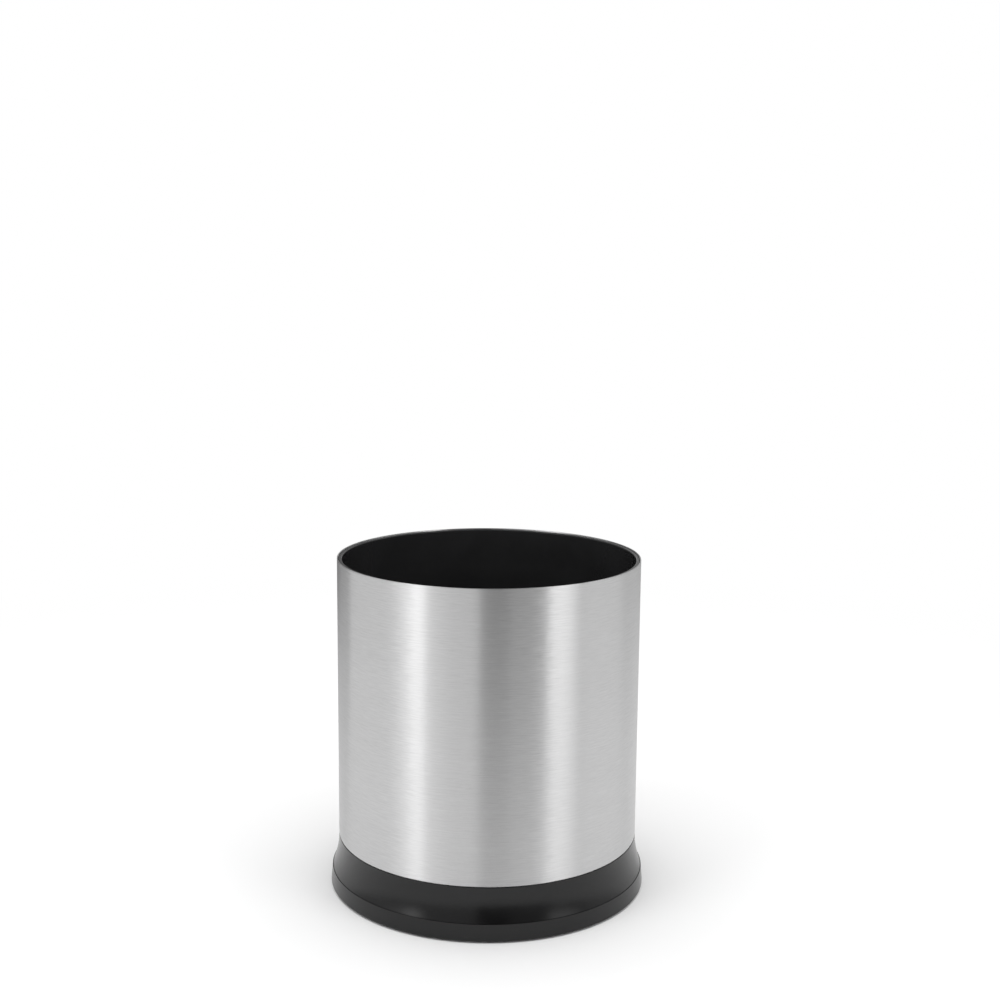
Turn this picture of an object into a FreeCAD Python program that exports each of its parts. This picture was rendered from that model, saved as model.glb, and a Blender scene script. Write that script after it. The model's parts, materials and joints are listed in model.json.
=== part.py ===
"""Rotating utensil holder: a brushed steel sleeve with a black inner cup on a ball bearing turntable.

The base stands still on a soft ring. The turntable, the sleeve, the cup and its divider hub turn on
16 balls between two stamped races, held down by a screw and washer under the base. Three divider
walls lift out of slots in the hub and guides on the cup. Z is up, the origin is on the table under
the middle of the base, and all sizes are in millimetres.
"""
import FreeCAD, Part
import math
import os
import re
from typing import NamedTuple

import Sketcher

SHEET_NAME = "sizes"
WORKED_NAME = "worked"
PANEL_LETTERS = ("a", "b", "c")
PANEL_STEP_DEGREES = 360 / len(PANEL_LETTERS)
EXACT = 1e-4

SIZES = {
    # Outline of the holder
    "sleeve_radius": 80.0,
    "sleeve_height": 150.5,
    "flare_height": 17.5,
    "flare_out": 3.3,
    "turn_gap": 0.3,
    "band_height": 8.7,
    "band_step": 0.3,
    "band_draft": 0.8,
    "foot_drop": 0.8,
    "edge_round": 0.4,
    # Steel sleeve
    "sleeve_gauge": 0.6,
    "bend_inside": 0.2,
    "flange_width": 2.8,
    # Inner cup
    "cup_clearance": 0.3,
    "cup_wall": 1.7,
    "cup_floor": 2.0,
    "cup_corner": 4.0,
    "rim_gap": 0.5,
    "spigot_wall": 2.0,
    "spigot_drop": 3.4,
    "spigot_fit": 0.3,
    # Turntable moulding
    "ledge_width": 3.0,
    "collar_taper": 1.6,
    "deck_gauge": 2.4,
    "lip_gap": 0.4,
    "lip_wall": 2.0,
    "lip_clearance": 2.2,
    "clamp_gap": 0.2,
    # Base pan
    "band_wall": 2.0,
    "floor_gauge": 2.4,
    "ring_recess": 2.0,
    "seat_rise": 2.0,
    "seat_margin": 1.5,
    "boss_recess": 3.2,
    "boss_wall": 4.0,
    "rib_gauge": 1.6,
    "rib_rise": 2.0,
    "base_rib_count": 8,
    "base_rib_start_degrees": 22.5,
    "deck_rib_count": 6,
    "deck_rib_start_degrees": 15.0,
    # Foot ring
    "rim_width": 6.4,
    "ring_width": 8.0,
    "ring_fit": 0.1,
    "keeper_wall": 1.4,
    "keeper_drop": 1.6,
    "tread_depth": 0.5,
    "tread_width": 1.2,
    # Ball bearing
    "bearing_gap": 1.0,
    "ball_radius": 3.0,
    "ball_count": 16,
    "ball_play": 0.05,
    "groove_clearance": 0.2,
    "groove_depth": 1.2,
    "race_gauge": 1.2,
    "race_inward": 13.0,
    "race_outward": 8.0,
    "seat_clearance": 0.1,
    "cage_gauge": 2.2,
    "cage_reach": 4.0,
    "cage_clearance": 0.15,
    # Pivot
    "post_radius": 8.0,
    "running_clearance": 0.05,
    "bush_wall": 2.0,
    "bush_flange_width": 2.5,
    "bush_flange_gauge": 1.2,
    "thrust_gap": 0.3,
    "end_play": 0.3,
    "washer_overhang": 6.0,
    "washer_gauge": 1.2,
    "washer_room": 3.0,
    # Screws
    "pivot_shank": 2.5,
    "pivot_head": 4.4,
    "pivot_head_height": 2.6,
    "pivot_length": 12.0,
    "cup_shank": 1.5,
    "cup_head": 2.9,
    "cup_head_height": 2.0,
    "cup_length": 10.0,
    "cup_screw_inset": 4.5,
    "cup_screw_count": 6,
    "race_shank": 1.25,
    "race_head": 2.4,
    "race_length": 5.0,
    "race_screw_inset": 4.0,
    "race_screw_count": 4,
    "hub_shank": 2.0,
    "hub_head": 3.6,
    "hub_head_height": 2.2,
    "hub_length": 12.0,
    "thread_clearance": 0.05,
    "hole_clearance": 0.2,
    "pilot_spare": 0.6,
    "pilot_wall": 1.6,
    "cross_width": 0.9,
    "cross_depth": 1.1,
    "cross_share": 0.6,
    # Divider
    "first_panel_degrees": 90.0,
    "panel_gauge": 2.0,
    "panel_fit": 0.25,
    "panel_drop": 40.0,
    "panel_corner": 8.0,
    "tab_radius": 11.0,
    "tab_reach": 36.0,
    "guide_depth": 3.0,
    "guide_wall": 1.5,
    "hub_radius": 8.0,
    "slot_depth": 4.6,
    "hub_rise": 4.0,
    "hub_dome": 2.0,
    "socket_wall": 1.5,
    "socket_height": 4.0,
    "socket_fit": 0.1,
}

# Levels are heights above the table, radii are from the turning axis.
WORKED = {
    # Outline
    "band_top": "foot_drop + band_height",
    "collar_low": "band_top + turn_gap",
    "collar_top": "collar_low + flare_height",
    "rim_top": "collar_top + sleeve_height",
    "collar_radius": "sleeve_radius + flare_out",
    "band_radius": "collar_radius + band_step",
    "foot_radius": "band_radius + band_draft",
    "flare_radius": "(flare_out ^ 2 + flare_height ^ 2) / (2 * flare_out)",
    # Base pan and foot ring
    "floor_under": "foot_drop + ring_recess",
    "floor_top": "floor_under + floor_gauge",
    "seat_top": "floor_top + seat_rise",
    "seat_under": "seat_top - floor_gauge",
    "band_inside": "band_radius - band_wall",
    "ring_out": "foot_radius - rim_width",
    "ring_in": "ring_out - ring_width",
    "keeper_out": "ring_in - ring_fit",
    "keeper_in": "keeper_out - keeper_wall",
    "keeper_low": "floor_under - keeper_drop",
    # Races, balls and cage
    "seat_out": "keeper_in - bearing_gap",
    "race_out": "seat_out - seat_margin",
    "ball_circle": "race_out - race_outward",
    "race_in": "ball_circle - race_inward",
    "seat_in": "race_in - seat_margin",
    "race_screw_circle": "race_in + race_screw_inset",
    "groove_radius": "ball_radius + groove_clearance",
    "groove_rise": "groove_radius - groove_depth",
    "groove_half": "sqrt(groove_radius ^ 2 - groove_rise ^ 2)",
    "back_radius": "groove_radius + race_gauge",
    "back_rise": "groove_rise + race_gauge",
    "back_half": "sqrt(back_radius ^ 2 - back_rise ^ 2)",
    "relief_radius": "back_radius + seat_clearance",
    "relief_half": "sqrt(relief_radius ^ 2 - back_rise ^ 2)",
    "lower_centre": "seat_top + back_rise",
    "ball_level": "lower_centre - groove_radius + ball_play + ball_radius",
    "upper_centre": "2 * ball_level - lower_centre",
    "cage_hole": "ball_radius + cage_clearance",
    # Turntable
    "deck_under": "2 * ball_level - seat_top",
    "deck_top": "deck_under + deck_gauge",
    "lip_out": "band_inside - lip_gap",
    "lip_in": "lip_out - lip_wall",
    "lip_low": "floor_top + lip_clearance",
    "ledge_in": "sleeve_radius - ledge_width",
    "collar_in": "ledge_in + collar_taper",
    # Pivot
    "bush_in": "post_radius + running_clearance",
    "bush_out": "bush_in + bush_wall",
    "bush_seat": "deck_under - thrust_gap - bush_flange_gauge",
    "boss_out": "bush_out + boss_wall",
    "boss_under": "floor_under + boss_recess",
    "well_top": "boss_under + floor_gauge",
    "washer_radius": "post_radius + washer_overhang",
    "well_radius": "washer_radius + washer_room",
    "well_out": "well_radius + floor_gauge",
    "post_end": "boss_under - end_play",
    "washer_low": "post_end - washer_gauge",
    "pivot_top": "washer_low + pivot_length",
    "post_top": "pivot_top + pilot_spare + pilot_wall",
    # Sleeve, cup and divider
    "sleeve_inside": "sleeve_radius - sleeve_gauge",
    "bend_outside": "bend_inside + sleeve_gauge",
    "flange_in": "sleeve_radius - flange_width",
    "cup_under": "collar_top + sleeve_gauge",
    "cup_out": "sleeve_inside - cup_clearance",
    "cup_in": "cup_out - cup_wall",
    "cup_floor_top": "cup_under + cup_floor",
    "cup_top": "rim_top - rim_gap",
    "spigot_out": "min(flange_in; ledge_in) - spigot_fit",
    "cup_boss_low": "deck_top + clamp_gap",
    "cup_screw_circle": "ledge_in - cup_screw_inset",
    "cup_screw_top": "deck_under + cup_length",
    "panel_low": "cup_floor_top + panel_fit",
    "panel_top": "rim_top - panel_drop",
    "panel_out": "cup_in - 2 * panel_fit",
    "slot_half": "panel_gauge / 2 + panel_fit",
    "slot_in": "hub_radius - slot_depth",
    "panel_in": "slot_in + panel_fit",
    "hub_top": "panel_top + hub_rise",
    "hub_screw_top": "cup_under + hub_length",
}


class Arc(NamedTuple):
    """Makes the next edge of an outline an arc about a centre, turn +1 for anticlockwise."""

    across: str
    up: str
    turn: int


def bound(text):
    """The expression with each size's name led back to the object that holds it."""

    def owner(match):
        name = match.group()
        if name in SIZES:
            return f"{SHEET_NAME}.{name}"
        if name in WORKED:
            return f"{WORKED_NAME}.{name}"
        return name

    return re.sub(r"[a-z]\w*", owner, text)


def fill_sheet(doc):
    """Write the driving sizes, one row each, and work out the levels and radii that follow."""
    sheet = doc.addObject("Spreadsheet::Sheet", SHEET_NAME)
    for row, (alias, size) in enumerate(SIZES.items(), start=1):
        sheet.set(f"A{row}", alias)
        sheet.set(f"B{row}", str(size))
        sheet.setAlias(f"B{row}", alias)
    doc.recompute()
    worked = doc.addObject("App::VarSet", WORKED_NAME)
    for name, text in WORKED.items():
        worked.addProperty("App::PropertyFloat", name)
        worked.setExpression(name, bound(text))
    doc.recompute()


def value(doc, text):
    """The number that an expression has now."""
    return float(doc.getObject(WORKED_NAME).evalExpression(bound(text)))


def origin_feature(body, role):
    return next(item for item in body.Origin.OriginFeatures if item.Role == role)


def new_body(doc, name, degrees=None):
    """A body that can be turned about Z by an angle in degrees."""
    body = doc.addObject("PartDesign::Body", name)
    body.Label = name
    if degrees is not None:
        body.Placement.Rotation.Axis = FreeCAD.Vector(0, 0, 1)
        body.setExpression("Placement.Rotation.Angle", bound(degrees))
    return body


def new_sketch(body, name, role, out="0", up="0", start="0"):
    """A sketch on one of the body's own planes, moved out along X, up along its normal and turned."""
    sketch = body.newObject("Sketcher::SketchObject", name)
    sketch.AttachmentSupport = [(origin_feature(body, role), "")]
    sketch.MapMode = "FlatFace"
    sketch.AttachmentOffset = FreeCAD.Placement(FreeCAD.Vector(), FreeCAD.Vector(0, 0, 1), 0)
    sketch.setExpression("AttachmentOffset.Base.x", bound(out))
    sketch.setExpression("AttachmentOffset.Base.z", bound(up))
    sketch.setExpression("AttachmentOffset.Rotation.Angle", bound(start))
    return sketch


def hold(sketch, kind, geometry, point, text):
    """Hold one coordinate of a point to an expression."""
    now = value(sketch.Document, text)
    index = sketch.addConstraint(Sketcher.Constraint(kind, -1, 1, geometry, point, now))
    sketch.setExpression(f"Constraints[{index}]", bound(text))


def arc_edge(start, end, centre, turn):
    """An arc about the centre, and which of its ends (1 or 2) lies at the start."""
    circle = Part.Circle(centre, FreeCAD.Vector(0, 0, 1), (start - centre).Length)
    first, last = (start, end) if turn > 0 else (end, start)
    edge = Part.ArcOfCircle(circle, circle.parameter(first), circle.parameter(last))
    return edge, 1 if turn > 0 else 2


def draw(sketch, outline):
    """Draw a closed outline of (across, up) corners, each held to its expressions."""
    doc = sketch.Document
    corners = []
    arcs = {}
    for step in outline:
        if isinstance(step, Arc):
            arcs[len(corners) - 1] = step
        else:
            corners.append(step)
    spots = [FreeCAD.Vector(value(doc, across), value(doc, up), 0) for across, up in corners]
    edges = []
    for index, start in enumerate(spots):
        end = spots[(index + 1) % len(spots)]
        arc = arcs.get(index)
        if arc:
            centre = FreeCAD.Vector(value(doc, arc.across), value(doc, arc.up), 0)
            edge, first_point = arc_edge(start, end, centre, arc.turn)
        else:
            edge, first_point = Part.LineSegment(start, end), 1
        edges.append((sketch.addGeometry(edge), first_point))
    for index, (geometry, first_point) in enumerate(edges):
        following, following_point = edges[(index + 1) % len(edges)]
        last_point = 3 - first_point
        sketch.addConstraint(
            Sketcher.Constraint("Coincident", geometry, last_point, following, following_point)
        )
    for index, (across, up) in enumerate(corners):
        geometry, first_point = edges[index]
        hold(sketch, "DistanceX", geometry, first_point, across)
        hold(sketch, "DistanceY", geometry, first_point, up)
    for index, arc in arcs.items():
        chord = spots[(index + 1) % len(spots)] - spots[index]
        if abs(chord.x) > abs(chord.y):
            hold(sketch, "DistanceY", edges[index][0], 3, arc.up)
        else:
            hold(sketch, "DistanceX", edges[index][0], 3, arc.across)


def finish_feature(body, feature, cut, before):
    """Recompute, and make sure that the feature changed the body the way it should."""
    body.Document.recompute()
    change = feature.Shape.Volume - before
    if (cut and change >= 0) or (not cut and change <= 0):
        raise ValueError(f"{feature.Label} changed the volume by {change:.3f}")
    return feature


def volume_so_far(body):
    return body.Tip.Shape.Volume if body.Tip else 0.0


def turned(body, name, outline, cut=False, circle="0"):
    """Turn an outline about the Z axis, or about an upright line at that radius on the X axis."""
    before = volume_so_far(body)
    sketch = new_sketch(body, f"{name}_outline", "XZ_Plane", out=circle)
    draw(sketch, outline)
    feature = body.newObject("PartDesign::Groove" if cut else "PartDesign::Revolution", name)
    feature.Profile = sketch
    feature.ReferenceAxis = (sketch, ["V_Axis"])
    feature.Angle = 360
    return finish_feature(body, feature, cut, before)


def upright(body, name, radius, low, high, cut=False, circle="0"):
    """A round boss, or with cut a round hole, between two levels."""
    outline = [("0", low), (radius, low), (radius, high), ("0", high)]
    return turned(body, name, outline, cut=cut, circle=circle)


def block(body, name, boxes, low, high, cut=False, circle="0", start="0"):
    """Rectangles (left, near, right, far) raised, or with cut sunk, between two levels."""
    before = volume_so_far(body)
    sketch = new_sketch(body, f"{name}_outline", "XY_Plane", out=circle, up=low, start=start)
    for left, near, right, far in boxes:
        draw(sketch, [(left, near), (right, near), (right, far), (left, far)])
    feature = body.newObject("PartDesign::Pocket" if cut else "PartDesign::Pad", name)
    feature.Profile = sketch
    feature.setExpression("Length", bound(f"{high} - ({low})"))
    feature.Reversed = cut
    return finish_feature(body, feature, cut, before)


def around(body, feature, count):
    """Repeat a feature evenly about the Z axis."""
    pattern = body.newObject("PartDesign::PolarPattern", f"{feature.Name}_pattern")
    pattern.Originals = [feature]
    pattern.Axis = (origin_feature(body, "Z_Axis"), [""])
    pattern.Angle = 360
    pattern.setExpression("Occurrences", bound(count))
    body.Tip = pattern
    body.Document.recompute()
    return pattern


def rounded(body, name, rings):
    """Round the circular edges that lie at the given (radius, level) pairs."""
    doc = body.Document
    base = body.Tip
    targets = [FreeCAD.Vector(value(doc, radius), value(doc, level), 0) for radius, level in rings]
    names = []
    for number, edge in enumerate(base.Shape.Edges, start=1):
        curve = edge.Curve
        if curve.TypeId != "Part::GeomCircle" or math.hypot(curve.Center.x, curve.Center.y) > EXACT:
            continue
        here = FreeCAD.Vector(curve.Radius, curve.Center.z, 0)
        if any((here - target).Length < EXACT for target in targets):
            names.append(f"Edge{number}")
    if len(names) != len(rings):
        raise ValueError(f"{name} found {len(names)} of {len(rings)} edges")
    fillet = body.newObject("PartDesign::Fillet", name)
    fillet.Base = (base, names)
    fillet.setExpression("Radius", bound("edge_round"))
    doc.recompute()
    return fillet


def pan_screw(doc, name, shank, head, head_height, seat, length, circle="0", count=None, degrees=None):
    """Screws that point up, with a flat head under the seat level and a cross recess in it."""
    body = new_body(doc, name, degrees)
    head_low = f"{seat} - {head_height}"
    screw = turned(
        body,
        f"{name}_turned",
        [
            ("0", head_low),
            (f"{head} - edge_round", head_low),
            Arc(f"{head} - edge_round", f"{head_low} + edge_round", 1),
            (head, f"{head_low} + edge_round"),
            (head, seat),
            (shank, seat),
            (shank, f"{seat} + {length}"),
            ("0", f"{seat} + {length}"),
        ],
        circle=circle,
    )
    if count:
        around(body, screw, count)
    half, arm = "cross_width / 2", f"{head} * cross_share"
    for letter, box in (
        ("x", (f"-({arm})", f"-({half})", arm, half)),
        ("y", (f"-({half})", f"-({arm})", half, arm)),
    ):
        slot = block(
            body,
            f"{name}_cross_{letter}",
            [box],
            head_low,
            f"{head_low} + cross_depth",
            cut=True,
            circle=circle,
        )
        if count:
            around(body, slot, count)
    return body


def race_screws(doc, name, seat, direction, degrees=None):
    """Countersunk screws through a race whose back lies at the seat, heads flush with its face."""
    body = new_body(doc, name, degrees)
    face = f"{seat} + {direction} * race_gauge"
    tip = f"{face} - {direction} * race_length"
    outline = [("0", face), ("race_head", face), ("race_shank", seat), ("race_shank", tip), ("0", tip)]
    screw = turned(body, f"{name}_turned", outline, circle="race_screw_circle")
    around(body, screw, "race_screw_count")
    return body


def race(doc, name, seat, centre, direction, degrees=None):
    """A stamped ring with its back on the seat level and a ball groove in its face."""
    body = new_body(doc, name, degrees)
    face = f"{seat} + {direction} * race_gauge"
    turned(
        body,
        f"{name}_turned",
        [
            ("race_in", seat),
            ("ball_circle - back_half", seat),
            Arc("ball_circle", centre, direction),
            ("ball_circle + back_half", seat),
            ("race_out", seat),
            ("race_out", face),
            ("ball_circle + groove_half", face),
            Arc("ball_circle", centre, -direction),
            ("ball_circle - groove_half", face),
            ("race_in", face),
        ],
    )
    hole = turned(
        body,
        f"{name}_hole",
        [
            ("0", seat),
            ("race_shank + thread_clearance", seat),
            ("race_head + thread_clearance", face),
            ("0", face),
        ],
        cut=True,
        circle="race_screw_circle",
    )
    around(body, hole, "race_screw_count")
    return body


def base_pan(doc):
    """Pan with the outer band, a raised seat for the lower race and a boss for the pivot bush."""
    body = new_body(doc, "base_pan")
    turned(
        body,
        "pan_shell",
        [
            ("foot_radius", "foot_drop"),
            ("band_radius", "band_top"),
            ("band_inside", "band_top"),
            ("band_inside", "floor_top"),
            ("seat_out", "floor_top"),
            ("seat_out", "seat_top"),
            ("ball_circle + relief_half", "seat_top"),
            Arc("ball_circle", "lower_centre", -1),
            ("ball_circle - relief_half", "seat_top"),
            ("seat_in", "seat_top"),
            ("seat_in", "floor_top"),
            ("well_out", "floor_top"),
            ("well_out", "well_top"),
            ("boss_out", "well_top"),
            ("boss_out", "bush_seat"),
            ("bush_out", "bush_seat"),
            ("bush_out", "boss_under"),
            ("well_radius", "boss_under"),
            ("well_radius", "floor_under"),
            ("seat_in + floor_gauge", "floor_under"),
            ("seat_in + floor_gauge", "seat_under"),
            ("seat_out - floor_gauge", "seat_under"),
            ("seat_out - floor_gauge", "floor_under"),
            ("keeper_in", "floor_under"),
            ("keeper_in", "keeper_low"),
            ("keeper_out", "keeper_low"),
            ("keeper_out", "floor_under"),
            ("ring_out + ring_fit", "floor_under"),
            ("ring_out + ring_fit", "foot_drop"),
        ],
    )
    rounded(body, "pan_edges", [("foot_radius", "foot_drop"), ("band_radius", "band_top")])
    half = "rib_gauge / 2"
    well_wall = "well_radius + floor_gauge / 2"
    seat_near = "seat_in + floor_gauge / 2"
    seat_far = "seat_out - floor_gauge / 2"
    seat_inside = "seat_under + floor_gauge / 4"
    for name, near, far, high in (
        ("pan_rib", well_wall, seat_near, "floor_top + rib_rise"),
        ("seat_rib", seat_near, seat_far, seat_inside),
    ):
        box = (near, f"-{half}", far, half)
        rib = block(body, name, [box], "keeper_low", high, start="base_rib_start_degrees")
        around(body, rib, "base_rib_count")
    tip = "seat_top + race_gauge - race_length - pilot_spare"
    pilot = "race_shank + thread_clearance"
    boss = upright(
        body,
        "pan_boss",
        f"{pilot} + pilot_wall",
        f"{tip} - pilot_wall",
        seat_inside,
        circle="race_screw_circle",
    )
    around(body, boss, "race_screw_count")
    hole = upright(body, "pan_pilot", pilot, tip, "seat_top", cut=True, circle="race_screw_circle")
    around(body, hole, "race_screw_count")
    return body


def foot_ring(doc):
    """Soft ring in the groove under the pan, with two treads cut round its underside."""
    body = new_body(doc, "foot_ring")
    turned(
        body,
        "ring_turned",
        [
            ("ring_in", "0"),
            ("ring_out", "0"),
            ("ring_out", "floor_under"),
            ("ring_in", "floor_under"),
        ],
    )
    rounded(body, "ring_edges", [("ring_in", "0"), ("ring_out", "0")])
    for number, share in enumerate(("1", "2"), start=1):
        middle = f"ring_in + ring_width * {share} / 3"
        near, far = f"{middle} - tread_width / 2", f"{middle} + tread_width / 2"
        turned(
            body,
            f"ring_tread_{number}",
            [(near, "0"), (far, "0"), (far, "tread_depth"), (near, "tread_depth")],
            cut=True,
        )
    return body


def pivot_bush(doc):
    """Flanged bush in the boss of the pan, in which the post of the turntable turns."""
    body = new_body(doc, "pivot_bush")
    flange_radius = "bush_out + bush_flange_width"
    flange_top = "bush_seat + bush_flange_gauge"
    turned(
        body,
        "bush_turned",
        [
            ("bush_in", "boss_under"),
            ("bush_out", "boss_under"),
            ("bush_out", "bush_seat"),
            (flange_radius, "bush_seat"),
            (flange_radius, flange_top),
            ("bush_in", flange_top),
        ],
    )
    return body


def ball_cage(doc):
    """Flat ring that keeps the balls apart."""
    body = new_body(doc, "ball_cage")
    low, high = "ball_level - cage_gauge / 2", "ball_level + cage_gauge / 2"
    near, far = "ball_circle - cage_reach", "ball_circle + cage_reach"
    turned(body, "cage_turned", [(near, low), (far, low), (far, high), (near, high)])
    hole = upright(body, "cage_hole_cut", "cage_hole", low, high, cut=True, circle="ball_circle")
    around(body, hole, "ball_count")
    return body


def bearing_balls(doc):
    """Balls of the bearing, evenly spaced on the ball circle."""
    body = new_body(doc, "bearing_balls")
    ball = turned(
        body,
        "ball_turned",
        [
            ("0", "ball_level - ball_radius"),
            Arc("0", "ball_level", 1),
            ("0", "ball_level + ball_radius"),
        ],
        circle="ball_circle",
    )
    around(body, ball, "ball_count")
    return body


def turntable(doc, degrees):
    """Flared collar, deck with the seat of the upper race, and the post that turns in the bush."""
    body = new_body(doc, "turntable", degrees)
    pilot = "pivot_shank + thread_clearance"
    pilot_top = "pivot_top + pilot_spare"
    turned(
        body,
        "collar_and_deck",
        [
            ("collar_radius", "collar_low"),
            Arc("sleeve_radius + flare_radius", "collar_top", -1),
            ("sleeve_radius", "collar_top"),
            ("ledge_in", "collar_top"),
            ("collar_in", "deck_top"),
            ("post_radius", "deck_top"),
            ("post_radius", "post_top"),
            ("0", "post_top"),
            ("0", pilot_top),
            (pilot, pilot_top),
            (pilot, "post_end"),
            ("post_radius", "post_end"),
            ("post_radius", "deck_under"),
            ("ball_circle - relief_half", "deck_under"),
            Arc("ball_circle", "upper_centre", -1),
            ("ball_circle + relief_half", "deck_under"),
            ("lip_in", "deck_under"),
            ("lip_in", "lip_low"),
            ("lip_out", "lip_low"),
            ("lip_out", "collar_low"),
        ],
    )
    rounded(body, "collar_edges", [("collar_radius", "collar_low")])
    half = "rib_gauge / 2"
    rib = block(
        body,
        "deck_rib",
        [("post_radius - rib_gauge", f"-{half}", "collar_in + rib_gauge / 2", half)],
        "deck_top - deck_gauge / 2",
        "deck_top + rib_rise",
        start="deck_rib_start_degrees",
    )
    around(body, rib, "deck_rib_count")
    race_pilot = "race_shank + thread_clearance"
    race_tip = "deck_under - race_gauge + race_length + pilot_spare"
    boss = upright(
        body,
        "deck_boss",
        f"{race_pilot} + pilot_wall",
        "deck_top - deck_gauge / 2",
        f"{race_tip} + pilot_wall",
        circle="race_screw_circle",
    )
    around(body, boss, "race_screw_count")
    for name, radius, high, circle, count in (
        ("deck_pilot", race_pilot, race_tip, "race_screw_circle", "race_screw_count"),
        ("deck_hole", "cup_shank + hole_clearance", "deck_top", "cup_screw_circle", "cup_screw_count"),
    ):
        hole = upright(body, name, radius, "deck_under", high, cut=True, circle=circle)
        around(body, hole, count)


def pivot_washer(doc):
    """Washer that overlaps the boss of the pan from below."""
    body = new_body(doc, "pivot_washer")
    bore = "pivot_shank + hole_clearance"
    turned(
        body,
        "washer_turned",
        [
            (bore, "washer_low"),
            ("washer_radius", "washer_low"),
            ("washer_radius", "post_end"),
            (bore, "post_end"),
        ],
    )
    return body


def steel_sleeve(doc):
    """Sheet steel cylinder with a rounded plain rim and its foot turned in to a flange."""
    body = new_body(doc, "steel_sleeve")
    edge_level = "rim_top - sleeve_gauge / 2"
    bend_level = "collar_top + bend_outside"
    bend_across = "sleeve_radius - bend_outside"
    turned(
        body,
        "sleeve_turned",
        [
            ("sleeve_radius", bend_level),
            ("sleeve_radius", edge_level),
            Arc("sleeve_radius - sleeve_gauge / 2", edge_level, 1),
            ("sleeve_inside", edge_level),
            ("sleeve_inside", bend_level),
            Arc(bend_across, bend_level, -1),
            (bend_across, "cup_under"),
            ("flange_in", "cup_under"),
            ("flange_in", "collar_top"),
            (bend_across, "collar_top"),
            Arc(bend_across, bend_level, 1),
        ],
    )
    return body


def inner_cup(doc, degrees):
    """Cup that lines the sleeve, with paired guides for each panel and a socket for the hub."""
    body = new_body(doc, "inner_cup", degrees)
    turned(
        body,
        "cup_shell",
        [
            ("hub_shank + hole_clearance", "cup_under"),
            ("cup_out - cup_corner", "cup_under"),
            ("cup_out", "cup_under"),
            ("cup_out", "cup_top"),
            ("cup_in", "cup_top"),
            ("cup_in", "cup_floor_top + cup_corner"),
            Arc("cup_in - cup_corner", "cup_floor_top + cup_corner", -1),
            ("cup_in - cup_corner", "cup_floor_top"),
            ("hub_shank + hole_clearance", "cup_floor_top"),
        ],
    )
    rounded(body, "cup_edges", [("cup_in", "cup_top")])
    floor_middle = "cup_under + cup_floor / 2"
    turned(
        body,
        "cup_spigot",
        [
            ("spigot_out - spigot_wall", "cup_under - spigot_drop"),
            ("spigot_out", "cup_under - spigot_drop"),
            ("spigot_out", floor_middle),
            ("spigot_out - spigot_wall", floor_middle),
        ],
    )
    socket_in = "hub_radius + socket_fit"
    turned(
        body,
        "hub_socket",
        [
            (socket_in, floor_middle),
            (f"{socket_in} + socket_wall", floor_middle),
            (f"{socket_in} + socket_wall", "cup_floor_top + socket_height"),
            (socket_in, "cup_floor_top + socket_height"),
        ],
    )
    gate = block(
        body,
        "socket_gate",
        [("hub_radius / 2", "-slot_half", "hub_radius + socket_wall * 2", "slot_half")],
        "cup_floor_top",
        "cup_floor_top + socket_height",
        cut=True,
    )
    around(body, gate, str(len(PANEL_LETTERS)))
    near, far = "cup_in - guide_depth", "cup_in + cup_wall / 2"
    guide = block(
        body,
        "cup_guide",
        [
            (near, "slot_half", far, "slot_half + guide_wall"),
            (near, "-slot_half - guide_wall", far, "-slot_half"),
        ],
        floor_middle,
        "panel_top",
    )
    around(body, guide, str(len(PANEL_LETTERS)))
    return body


def cup_bosses(body):
    """Bosses under the floor of the cup for the screws that come up through the deck."""
    pilot = "cup_shank + thread_clearance"
    for name, radius, high, cut in (
        ("cup_boss", f"{pilot} + pilot_wall", "cup_under + cup_floor / 2", False),
        ("cup_pilot", pilot, "cup_screw_top + pilot_spare", True),
    ):
        feature = upright(body, name, radius, "cup_boss_low", high, cut=cut, circle="cup_screw_circle")
        around(body, feature, "cup_screw_count")


def divider_hub(doc, degrees):
    """Column in the middle of the cup, slotted for the inner edges of the panels."""
    body = new_body(doc, "divider_hub", degrees)
    pilot = "hub_shank + thread_clearance"
    pilot_top = "hub_screw_top + pilot_spare"
    turned(
        body,
        "column",
        [
            (pilot, "cup_floor_top"),
            ("hub_radius", "cup_floor_top"),
            ("hub_radius", "hub_top - hub_dome"),
            Arc("hub_radius - hub_dome", "hub_top - hub_dome", 1),
            ("hub_radius - hub_dome", "hub_top"),
            ("0", "hub_top"),
            ("0", pilot_top),
            (pilot, pilot_top),
        ],
    )
    slot = block(
        body,
        "panel_slot",
        [("slot_in", "-slot_half", "hub_radius + slot_depth", "slot_half")],
        "cup_floor_top",
        "hub_top",
        cut=True,
    )
    around(body, slot, str(len(PANEL_LETTERS)))
    return body


def divider_wall(doc, letter, degrees):
    """Panel with a rounded outer corner and a thumb tab, standing on the floor of the cup."""
    body = new_body(doc, f"divider_wall_{letter}", degrees)
    foot_corner = "(cup_corner + panel_fit)"
    sketch = new_sketch(body, f"panel_outline_{letter}", "XZ_Plane")
    draw(
        sketch,
        [
            ("panel_in", "panel_low"),
            (f"panel_out - {foot_corner}", "panel_low"),
            Arc(f"panel_out - {foot_corner}", f"panel_low + {foot_corner}", 1),
            ("panel_out", f"panel_low + {foot_corner}"),
            ("panel_out", "panel_top - panel_corner"),
            Arc("panel_out - panel_corner", "panel_top - panel_corner", 1),
            ("panel_out - panel_corner", "panel_top"),
            ("tab_reach + tab_radius", "panel_top"),
            Arc("tab_reach", "panel_top", 1),
            ("tab_reach - tab_radius", "panel_top"),
            ("panel_in", "panel_top"),
        ],
    )
    pad = body.newObject("PartDesign::Pad", f"panel_{letter}")
    pad.Profile = sketch
    pad.SideType = "Symmetric"
    pad.setExpression("Length", bound("panel_gauge"))
    return finish_feature(body, pad, False, 0.0)


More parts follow.
